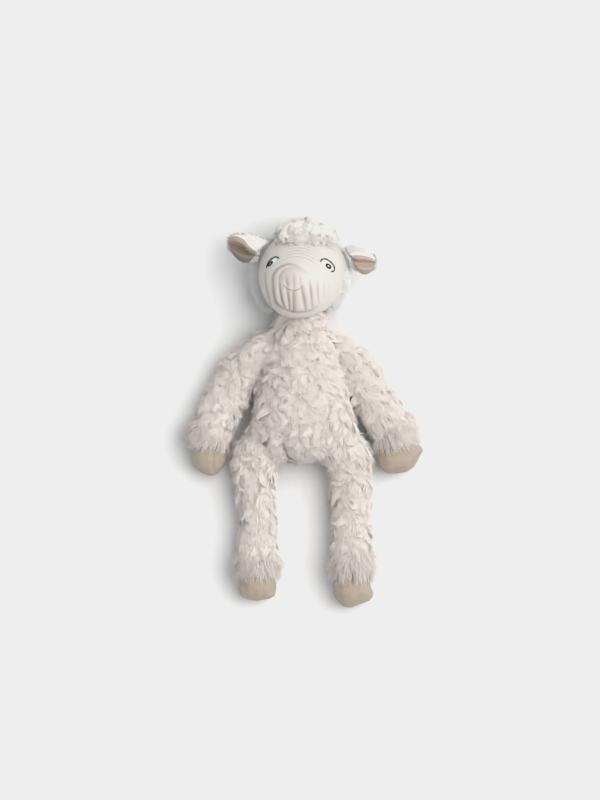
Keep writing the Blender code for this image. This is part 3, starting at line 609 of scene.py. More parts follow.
# Grooves between the wales and folds, each a half width and corners: a pixel of the photograph and a depth
GROOVES = (
    (0.9, ((263.8, 273, 0.6), (264.6, 282.4, 1.2), (267.1, 295, 1.4), (270.3, 306.6, 1.2), (274, 312, 0.6))),
    (0.95, ((271.8, 283, 1.5), (273.5, 298.3, 1.9), (275.4, 304, 1.9), (282.4, 309, 1.3))),
    (0.9, ((278.6, 281, 0.8), (279.5, 292, 1.6), (282.4, 304.7, 1.5), (285, 310, 0.9))),
    (0.85, ((286.6, 290, 0.8), (287.5, 297, 1.5), (289.4, 311, 1.1))),
    (0.85, ((293.5, 292, 0.8), (294, 302, 1.0), (294, 313, 0.8))),
    (0.9, ((301.8, 289, 1.0), (303.5, 298, 1.5), (305.5, 311, 1.1))),
    (0.9, ((309.6, 281, 0.7), (311, 290, 1.3), (312.4, 309, 0.8))),
    (0.85, ((317.6, 281, 0.6), (318, 290, 1.0), (318.8, 303, 0.5))),
    (0.8, ((324, 281, 0.3), (324.5, 290, 0.6), (324, 300, 0.3))),
    (0.8, ((329.5, 279, 0.2), (330, 288, 0.4), (328.5, 297, 0.2))),
    (0.65, ((286.2, 275, 0.2), (286.4, 280, 0.8), (286.8, 286, 0.9))),
    (0.65, ((293.6, 273, 0.2), (293.7, 280, 0.7), (293.5, 289, 0.7))),
    (0.65, ((300, 275, 0.2), (300.3, 280, 0.6), (300.8, 287, 0.6))),
    (
        1.15,
        (
            (271.8, 283, 1.5), (272, 277.3, 1.6), (274.4, 271.6, 1.6), (280.2, 266.6, 1.5), (287, 264.2, 1.3),
            (293.3, 265, 1.0), (299.6, 268.4, 0.7), (306, 272.2, 0.4), (316, 276.6, 0.2), (328, 280, 0.0),
        ),
    ),
    (
        0.95,
        (
            (279, 282, 0.5), (279.4, 275.6, 1.0), (283.4, 270.6, 0.9), (290.7, 268, 0.7), (298.4, 270, 0.5),
            (304, 275, 0.2),
        ),
    ),
    (1.0, ((282.4, 309, 1.0), (290, 312.3, 1.3), (300, 313.3, 1.2), (310, 311.5, 1.0), (318, 306, 0.4))),
)


def sphere(level):
    """The points and triangles of an icosphere."""
    mesh = bpy.data.meshes.new("sphere")
    bm = bmesh.new()
    bmesh.ops.create_icosphere(bm, subdivisions=level, radius=1)
    bm.to_mesh(mesh)
    bm.free()
    points = rows_of(mesh.vertices, "co", 3)
    faces = rows_of(mesh.polygons, "vertices", 3, np.int64)
    bpy.data.meshes.remove(mesh)
    return unit(points), faces


class HeadForm:
    """The smoothed CAD form of the head, as distances from its middle."""

    def __init__(self):
        base = Skin.around(["forehead_panel", "muzzle_panel", "head_back_panel", "head_stuffing"], 1.6 * MM, 12)
        self.ways, _ = sphere(5)
        middle = Vector(HEAD_MIDDLE)
        self.reach = np.array([
            (base.tree.ray_cast(middle + Vector(way) * RAY_START, -Vector(way))[0] - middle).length
            for way in self.ways
        ])

    def distances(self, directions):
        found = np.empty(len(directions))
        for start in range(0, len(directions), RAYS_AT_ONCE):
            block = slice(start, start + RAYS_AT_ONCE)
            weight = np.exp((directions[block] @ self.ways.T - 1) / (2 * RAY_BLUR))
            found[block] = (weight @ self.reach) / weight.sum(1)
        return found

    def sampled(self, level, seam_width):
        """A sphere's directions and triangles, with the distance, the side of the seam and its depth at each."""
        directions, triangles = sphere(level)
        side = above_seam(directions)
        return directions, triangles, self.distances(directions), side, HEAD_SEAM_DEPTH * bell(side / seam_width)


def from_lines(pixels, lines):
    """The deepest of the grooves at each pixel, and the wider dips that round the wales between them."""
    sharp = np.zeros(len(pixels))
    soft = np.zeros(len(pixels))
    for half_width, corners in lines:
        line = smooth_line(corners, 5 * len(corners))
        nearest = np.full(len(pixels), np.inf)
        depth = np.zeros(len(pixels))
        for start, end in zip(line[:-1], line[1:]):
            edge = end - start
            part = np.clip((pixels - start[:2]) @ edge[:2] / (edge[:2] @ edge[:2]), 0, 1)
            gap = np.linalg.norm(pixels - start[:2] - part[:, None] * edge[:2], axis=1)
            closer = gap < nearest
            nearest = np.where(closer, gap, nearest)
            depth = np.where(closer, start[2] + part * edge[2], depth)
        across = nearest * PIXEL / (half_width * MM)
        depth = np.maximum(depth, 0) * MM
        sharp = np.maximum(sharp, depth * bell(across))
        soft = np.maximum(soft, depth * bell(across / DIP_WIDTH))
    return sharp, soft


def seen_pixels(places):
    """The pixel of the photograph at which each place is seen."""
    near = (1 - places[:, 2] / CAMERA_HEIGHT)[:, None]
    flat = places[:, :2] * [1, -1] / PIXEL + np.array(PHOTO_MIDDLE) - np.array(CAMERA_PIXEL)
    return np.array(CAMERA_PIXEL) + flat / near


def press_face(places, directions):
    """How far each place of the face is pressed in or out, and how dark it is coloured, from 0 to 1: by how deep in a
    groove it lies, with painted shade on the raised nose pad and a darker muzzle.
    """
    pixels = seen_pixels(places)
    sharp, soft = from_lines(pixels, GROOVES)
    front = ease(directions[:, 2], 0.15, 0.35)
    sharp, soft = sharp * front, soft * front
    from_nose = places - NOSE
    from_nose[:, 1] = np.maximum(from_nose[:, 1], 0)
    chord = np.linalg.norm(from_nose, axis=1)
    around = 2 * HEAD_RADIUS * np.arcsin(np.minimum(chord / (2 * HEAD_RADIUS), 1))
    above = ease(places[:, 1] - NOSE[1], -2 * MM, 13 * MM)
    first = FIRST_CHEEK_ARC + (FIRST_ARC - FIRST_CHEEK_ARC) * above
    there = ease(around, first - 1.6 * MM, first - 0.4 * MM)
    arc = np.abs(np.sin(math.pi * (around - FIRST_ARC) / ARC_PITCH))
    right = ease(places[:, 0], 3 * MM, 24 * MM)
    arc_depth = ARC_DEPTH * there * (1 - 0.85 * right) * (1 + 0.3 * wander(places, 22 * MM, 9))
    arcs = arc_depth * (1 - arc**0.7)
    pad = np.exp(-(oval(pixels, *NOSE_PAD) ** 1.5))
    roll_middle, stretch = NOSE_ROLL
    roll = bell((np.linalg.norm((pixels - roll_middle) / stretch, axis=1) - ROLL_RADIUS) / ROLL_HALF_WIDTH)
    roll = roll * ease(pixels[:, 1], 286, 272) * (1 - 0.7 * ease(pixels[:, 0], 296, 312))
    lift = 1.9 * MM * pad + 0.9 * MM * roll - 0.45 * sharp - 0.9 * soft - arcs
    groove = np.maximum(0.68 * sharp / (1.6 * MM) + 0.12 * soft / (1.6 * MM), arcs / (1.15 * MM))
    # Painted shade on the raised nose pad, and a darker colour over the muzzle
    shaded_pad_and_darker_muzzle = 0.24 * pad + 0.2 * np.exp(-oval(pixels, *DARKER_MUZZLE))
    return lift, np.clip(groove + shaded_pad_and_darker_muzzle, 0, 1)


def above_seam(directions):
    """Above 0 on the face and below 0 on the back of the head, whose plush comes further round at one cheek."""
    azimuth = np.degrees(np.arctan2(directions[:, 1], directions[:, 0]))
    cheek = ease(azimuth, -78, -54) * (1 - ease(azimuth, -8, 12))
    return directions[:, 2] - 0.38 * cheek


def dome(name, points, triangles, keep, shade):
    """The part of a closed surface that is kept, closed by a cone of faces to its middle."""
    kept = triangles[keep[triangles].all(1)]
    used, index = np.unique(kept, return_inverse=True)
    kept = index.reshape(-1, 3)
    edges = np.concatenate([kept[:, [0, 1]], kept[:, [1, 2]], kept[:, [2, 0]]])
    known = set(map(tuple, edges.tolist()))
    open_edges = [(a, b) for a, b in known if (b, a) not in known]
    hub = len(used)
    cone = np.array([(b, a, hub) for a, b in sorted(open_edges)])
    points = np.concatenate([points[used], HEAD_MIDDLE[None]])
    return mesh_object(name, points, [kept, cone], np.append(shade[used], 1))


def build_head():
    """The corduroy face and the plush back of the head. Returns the face's skin, to place stitches on."""
    form = HeadForm()
    directions, triangles, distance, side, seam = form.sampled(7, 0.035)
    places = HEAD_MIDDLE + directions * distance[:, None]
    lift, groove = press_face(places, directions)
    places = HEAD_MIDDLE + directions * (distance + lift * ease(side, 0, 0.08) - seam)[:, None]
    face = dome("face_corduroy", places, triangles, side > -0.02, 1 - groove)
    dress(face, CORDUROY, "head", "corduroy", "forehead_panel", "muzzle_panel")

    directions, triangles, distance, side, seam = form.sampled(6, 0.05)
    places = HEAD_MIDDLE + directions * (distance - seam)[:, None]
    places[:, 2] = np.maximum(places[:, 2], FLOOR_LIFT)
    back = dome("head_back_cloth", places, triangles, side < 0.03, np.ones(len(side)))
    dress(back, PLUSH_BACKING, "head", "white_plush", "head_back_panel", "head_stuffing")
    build_head_plush(Skin(back.data))
    return Skin(face.data)


def build_head_plush(skin):
    """Short white plush on the back of the head, whose edge frames the face."""
    rng = np.random.default_rng(41)
    roots, _ = skin.spread(HEAD_FIBRES, rng)
    out = unit(roots - HEAD_MIDDLE)
    on_skin = np.linalg.norm(roots - HEAD_MIDDLE, axis=1) > 30 * MM
    keep = on_skin & (above_seam(out) < 0.03 * wander(roots, 15 * MM, 3))
    roots, out = roots[keep], out[keep]
    lean = np.array([0, -0.45, -0.1]) + 0.3 * rng.normal(size=(len(roots), 3))
    gather = Tubes()
    length = 5 * MM + 6 * MM * ease(-roots[:, 0], 20 * MM, 34 * MM)
    lay_straight(
        gather, roots - out * 0.5 * MM, unit(out + 0.9 * lean), out, np.zeros((len(roots), 3)), rng,
        length, 0.15, 0.24 * MM, 0.5, 3,
    )
    grown(gather, "head_back_plush", WHITE, "head", "white_plush")


# Fur of the torso, neck, limbs and crown

COAT = {"torso": ["body_front_panel", "body_back_panel", "body_stuffing"], "neck": ["neck_cover", "neck_stuffing"]}
for limb_name in LIMBS:
    COAT[limb_name] = [limb_name + "_sleeve", limb_name + "_stuffing"]
SKIN_VOXEL = 2 * MM
FUR_DEPTH = 4.2 * MM
UNDERCOAT_DEPTH = 2.4 * MM
TRUNK_CREASES = 5 * MM
ARM_CREASES = 1.6 * MM
SPAN = 5 * MM
HIPS = [joint_place("left_leg"), joint_place("right_leg")]
SHOULDER_TOPS = [np.array([*plan(*pixel, 38 * MM), 38 * MM]) for pixel in ((264, 336), (334, 340))]
RELAX_ROUNDS = 30
SPAN_ROUNDS = 20
COAT_RISE = 0.7 * MM
TORSO_SHARE = 3 * MM
LOCK_SPACING = 4.7 * MM
LOCKS_IN_A_PIECE = 150
LOCK_SHAPE = {
    "depth": FUR_DEPTH, "length": 15 * MM, "width": 3.2 * MM, "lift": 4.9 * MM, "curl": 1.1, "stray": 3 * MM,
    "strands": 44, "radius": 0.2 * MM, "sky": 0.9,
}
NECK_SHAPE = {"lift": 5.3 * MM, "length": 13 * MM, "stray": 1 * MM}
WISPS = 50000
WISPS_IN_A_PIECE = 9000
WISP_DEPTH = 2.8 * MM
CUFF_FIBRES = 26000
CUFF_STARTS = {"left_arm": 26 * MM, "right_arm": 19 * MM, "left_leg": 23 * MM, "right_leg": 23 * MM}
FLOOR_ZONE = 2 * MM


def backing(skin, name, material, body, slot, *nodes):
    """Makes a piece of a stuffed skin, such as the one that the fur grows on."""
    mesh = skin.mesh.copy()
    mesh.name = name
    mesh.shade_smooth()
    piece = placed(name, mesh)
    dress(piece, material, body, slot, *nodes)


def swirled(roots, normals, flow, size, amount, seed):
    """The flow turned this way and that over the surface, in patches of about the given size."""
    flow = unit(flow - dot(flow, normals) * normals)
    turn = (amount * wander(roots, size, seed))[:, None]
    return flow * np.cos(turn) + np.cross(normals, flow) * np.sin(turn)


def grown(gather, name, material, body, slot):
    """Makes a piece of fur, pressed flat on the floor where it would sink into it."""
    piece = gather.piece(name)
    mesh = piece.data
    places = rows_of(mesh.vertices, "co", 3, np.float32)
    low = places[:, 2] < FLOOR_ZONE
    places[low, 2] = FLOOR_LIFT + (FLOOR_ZONE - FLOOR_LIFT) * np.exp((places[low, 2] - FLOOR_ZONE) / FLOOR_ZONE)
    mesh.vertices.foreach_set("co", places.ravel())
    mesh.update()
    dress(piece, material, body, slot)


def in_pieces(roots, most):
    """Each piece's number and roots, at most so many, one piece beside another along the body."""
    order = np.argsort(roots[:, 1])
    return enumerate(np.array_split(order, -(-len(order) // most)), 1)


def curls(name, skin, body, roots, normals, flow, seed, material=CREAM, **shape):
    """Locks shaped as LOCK_SHAPE says, or as given."""
    rng = np.random.default_rng(seed)
    for number, chunk in in_pieces(roots, LOCKS_IN_A_PIECE):
        gather = Tubes()
        lay_locks(gather, skin, roots[chunk], normals[chunk], flow[chunk], rng, **{**LOCK_SHAPE, **shape})
        grown(gather, f"{name}_{number}", material, body, "cream_fur")


def limb_way(limb):
    """The direction of a limb and its length from joint to joint."""
    way = joint_place(LIMBS[limb]) - joint_place(limb)
    return unit(way), np.linalg.norm(way)


def coat_flow(body, roots):
    """The way the fur lies: towards the feet on the torso, and along each limb."""
    if body in LIMBS:
        return np.tile(limb_way(body)[0], (len(roots), 1))
    down = np.stack([0.3 * roots[:, 0] / (48 * MM), -np.ones(len(roots)), -0.2 * np.ones(len(roots))], -1)
    for limb in LIMBS:
        root = joint_place(limb)
        near = 1 - ease(np.linalg.norm(roots - root, axis=1), 20 * MM, 34 * MM)
        down = down + 1.2 * near[:, None] * limb_way(limb)[0]
    return unit(down)


# Where the stuffed toy sags out of its sewn shape: a pixel of the photograph, the move and the half size in mm
SAGS = (
    ((357, 333), (-5.5, -6), (16, 16)), ((386, 379), (-3, -2), (14, 14)), ((244, 332), (4.5, -6), (15, 15)),
    ((232, 520), (6, 0), (13, 19)), ((372, 520), (-2.5, 0), (12, 19)),
)
# The crease between the two halves of the belly: a half width and corners, each a pixel and a depth
BELLY_CREASE = ((3.6, ((279, 427, 0), (281.5, 436, 5), (285.5, 448, 8), (290, 460, 9), (292, 468, 9))),)


def sagged(places):
    """The places moved as SAGS says."""
    moved = places.copy()
    for pixel, move, size in SAGS:
        near = np.exp(-oval(places[:, :2], plan(*pixel, 30 * MM), np.array(size) * MM))
        moved[:, :2] += near[:, None] * np.array(move) * MM
    return moved


def creased(places):
    """The places pressed in along the crease of the belly, on the toy's front only."""
    deep, _ = from_lines(seen_pixels(places), BELLY_CREASE)
    return places - (deep * ease(places[:, 2], 20 * MM, 34 * MM))[:, None] * [0, 0, 1]


def near_any(places, middles, size):
    """1 at any of the middles and less the further away."""
    return np.max([np.exp(-(np.sum((places - middle) ** 2, axis=1) / size**2)) for middle in middles], 0)[:, None]


def trunk_reach(places):
    """How far the coat spans the creases between torso, neck and legs."""
    return TRUNK_CREASES + SPAN * near_any(places, HIPS, 26 * MM)


def arm_reach(places):
    """How far the coat spans the creases between the arms and the rest, further on the shoulders than below."""
    return ARM_CREASES + SPAN * near_any(places, SHOULDER_TOPS, 15 * MM)


def closed_over(skins, reach):
    """One skin over several that spans the creases between them as far as the reach says."""
    parts = []
    for skin in skins:
        outer = skin.copy()
        outer.inset(-reach(outer.points))
        parts.append((outer.points, outer.triangles))
    closed = Skin.remeshed(parts, SKIN_VOXEL, SPAN_ROUNDS)
    closed.inset(reach(closed.points))
    return closed


def build_coat():
    """The skins of torso, neck and limbs, and one coat of locks over them all."""
    skins = {}
    for body, nodes in COAT.items():
        skins[body] = Skin.around(nodes, SKIN_VOXEL, 8)
        skins[body].reshaped(sagged(skins[body].points))
        under = skins[body].copy()
        under.inset(UNDERCOAT_DEPTH)
        under.reshaped(creased(under.points))
        cuff = [body + "_cuff"] if body in LIMBS else []
        backing(under, body + "_skin", UNDER, body, "cream_fur", *nodes, *cuff)
    trunk = closed_over([skin for body, skin in skins.items() if not body.endswith("arm")], trunk_reach)
    trunk.relaxed(near_any(trunk.points, HIPS, 24 * MM), RELAX_ROUNDS)
    whole = closed_over([trunk, skins["left_arm"], skins["right_arm"]], arm_reach)
    whole.inset(-COAT_RISE)
    whole.reshaped(creased(whole.points))
    rng = np.random.default_rng(7)
    for number, (body, *place) in enumerate(shared_out(*whole.settled(LOCK_SPACING, rng), skins)):
        curls(body + "_locks", whole, body, *place, 21 + number, **(NECK_SHAPE if body == "neck" else {}))
    for number, (body, *place) in enumerate(shared_out(*whole.spread(WISPS, rng), skins)):
        wisps(body + "_wisps", body, *place, 301 + number)
    for number, limb in enumerate(LIMBS):
        build_hidden_fur(limb, skins[limb], whole, number)
        build_cuff(limb, skins[limb], joint_place(LIMBS[limb]), limb_way(limb)[0], number)


def shared_out(roots, normals, skins):
    """The roots on the whole coat that each body owns, with the normals and the way the fur lies there.

    What spans a crease beside the torso stays with the torso, so that no loose flap swings with a limb.
    """
    gaps = np.stack([np.linalg.norm(skins[body].onto(roots)[0] - roots, axis=1) for body in COAT])
    gaps[list(COAT).index("torso")] -= TORSO_SHARE
    owner = np.argmin(gaps, axis=0)
    for number, body in enumerate(COAT):
        mine = owner == number
        if body in LIMBS:
            way, reach = limb_way(body)
            mine &= (roots - joint_place(body)) @ way < reach - 6 * MM
        flow = swirled(roots[mine], normals[mine], coat_flow(body, roots[mine]), 34 * MM, 0.95, 11)
        yield body, roots[mine], normals[mine], flow


def wisps(name, body, roots, normals, flow, seed, material=CREAM, length=10 * MM):
    """Fine hairs between and over the locks, which soften their edges."""
    rng = np.random.default_rng(seed)
    for number, chunk in in_pieces(roots, WISPS_IN_A_PIECE):
        own, up = roots[chunk], normals[chunk]
        gather = Tubes()
        lay_straight(
            gather, own - WISP_DEPTH * up, unit(flow[chunk] + 0.62 * up + 0.55 * bunched(own, seed)), up, -0.2 * up,
            rng, length, 0.16, 0.15 * MM, 0.55,
        )
        grown(gather, f"{name}_{number}", material, body, "cream_fur")


def bunched(roots, seed):
    """A direction for each root that it shares with those around it."""
    return np.stack([wander(roots, 8 * MM, seed + 10 * axis) for axis in range(3)], -1)


def build_hidden_fur(limb, skin, whole, number):
    """Shorter locks on the part of a limb that turns out of its socket when it swings."""
    root = joint_place(limb)

    def inside(places, normals):
        near, facing = whole.onto(places)
        return (np.sum((places - near) * facing, axis=1) < -1.5 * MM) & (
            np.linalg.norm(places - root, axis=1) < 26 * MM
        )

    roots, normals = skin.settled(LOCK_SPACING, np.random.default_rng(170 + number), inside)
    flow = swirled(roots, normals, coat_flow(limb, roots), 42 * MM, 0.5, 11)
    curls(
        limb + "_root_locks", skin, limb, roots, normals, flow, 121 + number,
        depth=3 * MM, length=9 * MM, lift=2 * MM, strands=16,
    )


def build_cuff(limb, skin, end_place, way, seed):
    """Long straight fibres that fan out from the sleeve's end over the hoof."""
    rng = np.random.default_rng(90 + seed)
    roots, normals = skin.spread(CUFF_FIBRES, rng)
    along = (roots - end_place) @ way
    outward = ease(normals[:, 0] * (1 if limb.startswith("left") else -1), -0.3, 0.7)
    least = 15 * MM if limb.endswith("arm") else 19 * MM
    start = least + (CUFF_STARTS[limb] - least) * outward
    keep = (along > -start) & (along < -1 * MM) & (dot(normals, way[None])[:, 0] < 0.6)
    keep &= (roots[:, 2] > 3 * MM) & (rng.random(len(roots)) < 0.9)
    roots, normals, along = roots[keep], normals[keep], along[keep]
    clump = wander(roots, 7 * MM, 50 + seed)[:, None]
    open_out = 0.5 + 0.4 * ease(along, -6 * MM, -17 * MM)[:, None] + 0.3 * clump
    directions = unit(way + normals * open_out + 0.34 * bunched(roots, 60 + seed))
    sag = -0.12 * normals + 0.08 * way
    gather = Tubes()
    roots = roots - FUR_DEPTH * normals
    lay_straight(gather, roots, directions, normals + 0.3 * way, sag, rng, 18 * MM, 0.1, 0.2 * MM, 0.35)
    grown(gather, limb + "_cuff_fibres", PINK, limb, "pink_taupe_fur")


# The big curls of the crown: the pixel where each starts, one that it heads for, and how far it turns in degrees
CROWN_CURLS = (
    ((300, 234), (300, 225), 210), ((291, 235), (285, 229), -200), ((309, 235), (306, 226), -210),
    ((319, 236), (320, 228), 190), ((297, 227), (291, 220), 170), ((285, 233), (283, 227), 150),
    ((316, 228), (310, 221), -170), ((327, 237), (327, 230), 140), ((306, 226), (301, 220), 150),
)
CROWN_HAIRLINE = 241
CROWN_SIDE = 276
CROWN_SPACING = 6 * MM
CROWN_CORE_DEPTH = 3.5 * MM
CROWN_WISPS = 8500


def build_tuft(head):
    """The curly tuft on the crown, which ends at the hairline and beside the right ear."""
    skin = Skin.around(["crown_tuft"], 2.0 * MM, 6)
    hairline = plan(300, CROWN_HAIRLINE, 60 * MM)[1]
    drop = 0.3 * (1 - ease(skin.points[:, 1], hairline - 7 * MM, hairline + 3 * MM))
    drop = np.maximum(drop, 0.3 * ease(-seen_pixels(skin.points)[:, 0], -CROWN_SIDE - 3, -CROWN_SIDE + 4))
    skin.reshaped(skin.points + drop[:, None] * (HEAD_MIDDLE - skin.points))
    core = skin.copy()
    core.inset(CROWN_CORE_DEPTH)
    backing(core, "crown_tuft_core", UNDER, "head", "cream_fur", "crown_tuft")
    middle = skin.points.mean(0)

    def keep(places, normals):
        near, facing = head.onto(places)
        return (np.sum((places - near) * facing, axis=1) > -1 * MM) & (seen_pixels(places)[:, 0] > CROWN_SIDE)

    roots, normals = skin.settled(CROWN_SPACING, np.random.default_rng(77), keep)
    flow = unit(roots - middle + np.array([0, -6 * MM, 4 * MM]))
    flow = swirled(roots, normals, flow, 30 * MM, 1.4, 19)
    curls(
        "crown_curls", skin, "head", roots, normals, flow, 51,
        depth=4 * MM, lift=3.5 * MM, curl=2.0, width=4.5 * MM, length=18 * MM, strands=60, radius=0.22 * MM, sky=1.5,
        material=CROWN, stray=1.5 * MM,
    )
    seen = Seen(skin)
    starts = seen.at([start for start, _, _ in CROWN_CURLS], 0)
    ends = np.array([[*plan(*end, place[2]), place[2]] for place, (_, end, _) in zip(starts, CROWN_CURLS)])
    starts, ups = skin.onto(starts)
    turns = np.radians([turn for _, _, turn in CROWN_CURLS])
    curls(
        "crown_rolls", skin, "head", starts, ups, unit(ends - starts), 52, turn=turns,
        depth=1.5 * MM, lift=4 * MM, width=3.1 * MM, length=21 * MM, strands=220, radius=0.2 * MM, sky=1.2,
        material=CROWN, stray=0, curl=0,
    )
    roots, normals = skin.spread(CROWN_WISPS, np.random.default_rng(78))
    free = keep(roots, normals)
    roots, normals = roots[free], normals[free]
    flow = swirled(roots, normals, unit(roots - middle), 16 * MM, 1.6, 19)
    wisps("crown_wisps", "head", roots, unit(normals + [0, 0, 0.6]), flow, 79, CROWN, 7 * MM)


# Hooves

HOOF_SWELL = 1.2 * MM
HOOF_PRESSURE = 4.0
HOOF_FRAMES = 20
HOOF_SEAM_DEPTH = 0.7 * MM
HOOF_SEAM_HALF_WIDTH = 0.9 * MM
HOOF_CREASE = plan(212.5, 462, 30 * MM)[0]
HOOF_CREASE_HALF_WIDTH = 1.6 * MM
HOOF_CORNER_WIDTH = 0.36
# Where each hoof bulges to a blunt corner: the direction in plan, in degrees from its left, and how far
HOOF_CORNERS = {
    "left_hand": ((15, 6.5 * MM), (-120, 1.5 * MM)),
    "right_hand": ((-78, 2.5 * MM), (150, 2 * MM), (28, 2 * MM)),
    "left_foot": ((-28, 3 * MM), (-105, 2 * MM), (170, 1 * MM)),
    "right_foot": ((-40, 1.5 * MM), (-140, 1.5 * MM)),
}


def swollen(skin):
    """How far each point of a skin moves when the skin is cloth with air inside, at most by the swell."""
    piece = placed("swelling", skin.mesh)
    cloth = piece.modifiers.new("cloth", "CLOTH")
    cloth.settings.mass = 0.02
    cloth.settings.use_pressure = True
    cloth.settings.uniform_pressure_force = HOOF_PRESSURE
    cloth.settings.effector_weights.gravity = 0
    cloth.collision_settings.use_collision = False
    for step in range(1, HOOF_FRAMES + 1):
        bpy.context.scene.frame_set(step)
    evaluated = piece.evaluated_get(bpy.context.evaluated_depsgraph_get())
    move = rows_of(evaluated.data.vertices, "co", 3) - skin.points
    far = np.linalg.norm(move, axis=1, keepdims=True)
    bpy.data.objects.remove(piece)
    bpy.context.scene.frame_set(1)
    return move * np.minimum(1, HOOF_SWELL / np.maximum(far, 1e-9))


def build_hoof(end):
    """A hoof of two suede panels, swollen by its stuffing and drawn in along the seam around its side."""
    nodes = (end + "_hoof_cover", end + "_hoof_stuffing")
    skin = Skin.around(nodes, 1.0 * MM, 3)
    skin.inset(HOOF_SWELL)
    places = skin.points + swollen(skin)
    middle = (places.min(0) + places.max(0)) / 2
    out = unit(places - middle)
    seam = HOOF_SEAM_DEPTH * bell((places[:, 2] - middle[2]) / HOOF_SEAM_HALF_WIDTH)
    dents = 0.35 * MM * wander(places, 13 * MM, 140)
    if end == "right_hand":
        dents -= 1.5 * MM * bell((places[:, 0] - HOOF_CREASE) / HOOF_CREASE_HALF_WIDTH) * ease(out[:, 2], 0.1, 0.6)
    places = places + out * (dents - seam)[:, None]
    angle = np.arctan2(out[:, 1], out[:, 0])
    for toward, amount in HOOF_CORNERS[end]:
        away = np.angle(np.exp(1j * (angle - math.radians(toward))))
        bulge = amount * bell(away / HOOF_CORNER_WIDTH) * (1 - out[:, 2] ** 2)
        places[:, :2] += bulge[:, None] * np.stack([np.cos(angle), np.sin(angle)], -1)
    places[:, 2] = np.maximum(places[:, 2], FLOOR_LIFT)
    skin.reshaped(places)
    backing(skin, end + "_hoof_suede", SUEDE, end, "suede", *nodes)


# Ears

# Rows of the ear from its root to its tip, as pixels of the photograph: the lining's upper edge, upper crest,
# fold, lower crest and lower edge, and then the upper and lower edge of the plush behind it
EAR_ROWS = {
    "right": (
        ((257.5, 251.5), (257, 252.8), (256.5, 254), (255, 256), (253, 258), (267, 241), (257, 259)),
        ((250.5, 246.5), (249, 249), (249, 252.3), (248.5, 257), (248, 262.5), (253, 235.5), (248, 261.5)),
        ((243.5, 237.5), (242, 243), (242, 249.8), (242, 255.5), (242, 262), (244.5, 234), (242, 260.5)),
        ((235.5, 234.5), (235, 240.5), (235, 247.6), (235.5, 252.5), (236, 258), (236.5, 236.5), (236.5, 255.5)),
        ((229.5, 237), (229, 241.5), (229.2, 245.4), (230, 248.5), (231.5, 252), (231.5, 239), (232, 249.5)),
    ),
    "left": (
        ((350.5, 255), (352, 257), (353.5, 259.5), (355.5, 262), (356, 265), (346, 247), (352.5, 267)),
        ((357, 253.8), (357.3, 258), (357.6, 262.6), (358, 267), (358.5, 271.5), (357, 248), (356.5, 269.5)),
        ((364, 254.5), (364, 258.5), (364, 263.2), (364, 269), (364, 274.5), (365, 250), (364, 271.5)),
        ((370.5, 256.5), (370.5, 259.8), (370.5, 263.4), (370.5, 268.5), (370, 273), (371.5, 253.5), (370, 270.5)),
        ((375.5, 259.5), (375.8, 261.6), (375.5, 263.4), (374.8, 266), (373.6, 268.5), (375.8, 258.5), (373.5, 266)),
    ),
}
EAR_LEVELS = {
    "right": (49 * MM, 58 * MM, 45 * MM, 49 * MM, 43 * MM),
    "left": (47 * MM, 53 * MM, 46 * MM, 51 * MM, 45 * MM),
}
EAR_SHELL_LEVELS = {
    "right": (50 * MM, 53 * MM, 53 * MM, 43 * MM, 46 * MM, 41 * MM),
    "left": (49 * MM, 51 * MM, 50 * MM, 44 * MM, 48 * MM, 43 * MM),
}
# Painted shade on the ear linings: the lining is darker on one ear, most of all in its lower half, which lies in the
# shadow of its upper flap
EAR_PAINTED_SHADES = {"right": (0.62, 0.1), "left": (0.8, 0.66)}
EAR_SAMPLES = 32
EAR_RIM = 47 * MM
EAR_FIBRES = 9000


def lofted(rows):
    """A smooth grid of points through rows of points."""
    across = np.array([smooth_line(row, EAR_SAMPLES) for row in rows])
    return np.stack([smooth_line(across[:, column], EAR_SAMPLES) for column in range(EAR_SAMPLES)], 1)


def ear_grid(rows, levels):
    """The surface over rows of pixels whose points lie at the given levels, lower towards root and tip."""
    ends = (0.75, 1, 1, 0.85, 0.45)
    return lofted([
        [(*plan(*pixel, level), EAR_RIM + (level - EAR_RIM) * share) for pixel, level in zip(row, levels)]
        for row, share in zip(rows, ends)
    ])


def closed_leaf(name, top, thickness, shade=None):
    """A closed leaf from its front points, as thick as given in the middle and thin at its rim."""
    rows, columns = top.shape[:2]
    normals = unit(np.cross(np.gradient(top, axis=0), np.gradient(top, axis=1)))
    if normals[..., 2].mean() < 0:
        normals = -normals
    s = np.linspace(-1, 1, rows)[:, None]
    w = np.linspace(-1, 1, columns)[None, :]
    body = np.sqrt(np.clip((1 - s**8) * (1 - w**6), 0, 1))
    back = top - normals * (thickness * (0.15 + 0.85 * body))[..., None]
    points = np.concatenate([top.reshape(-1, 3), back.reshape(-1, 3)])
    index = np.arange(rows * columns).reshape(rows, columns)
    front = np.stack([index[:-1, :-1], index[:-1, 1:], index[1:, 1:], index[1:, :-1]], -1).reshape(-1, 4)
    far = rows * columns
    rear = front[:, ::-1] + far
    rim = np.concatenate([index[0, :-1], index[:-1, -1], index[-1, :0:-1], index[:0:-1, 0]])
    after = np.roll(rim, -1)
    wall = np.stack([rim, rim + far, after + far, after], -1)
    piece = mesh_object(name, points, [front, rear, wall], shade and np.tile(np.linspace(*shade, columns), 2 * rows))
    bm = bmesh.new()
    bm.from_mesh(piece.data)
    bmesh.ops.recalc_face_normals(bm, faces=bm.faces)
    bm.to_mesh(piece.data)
    bm.free()
    return piece


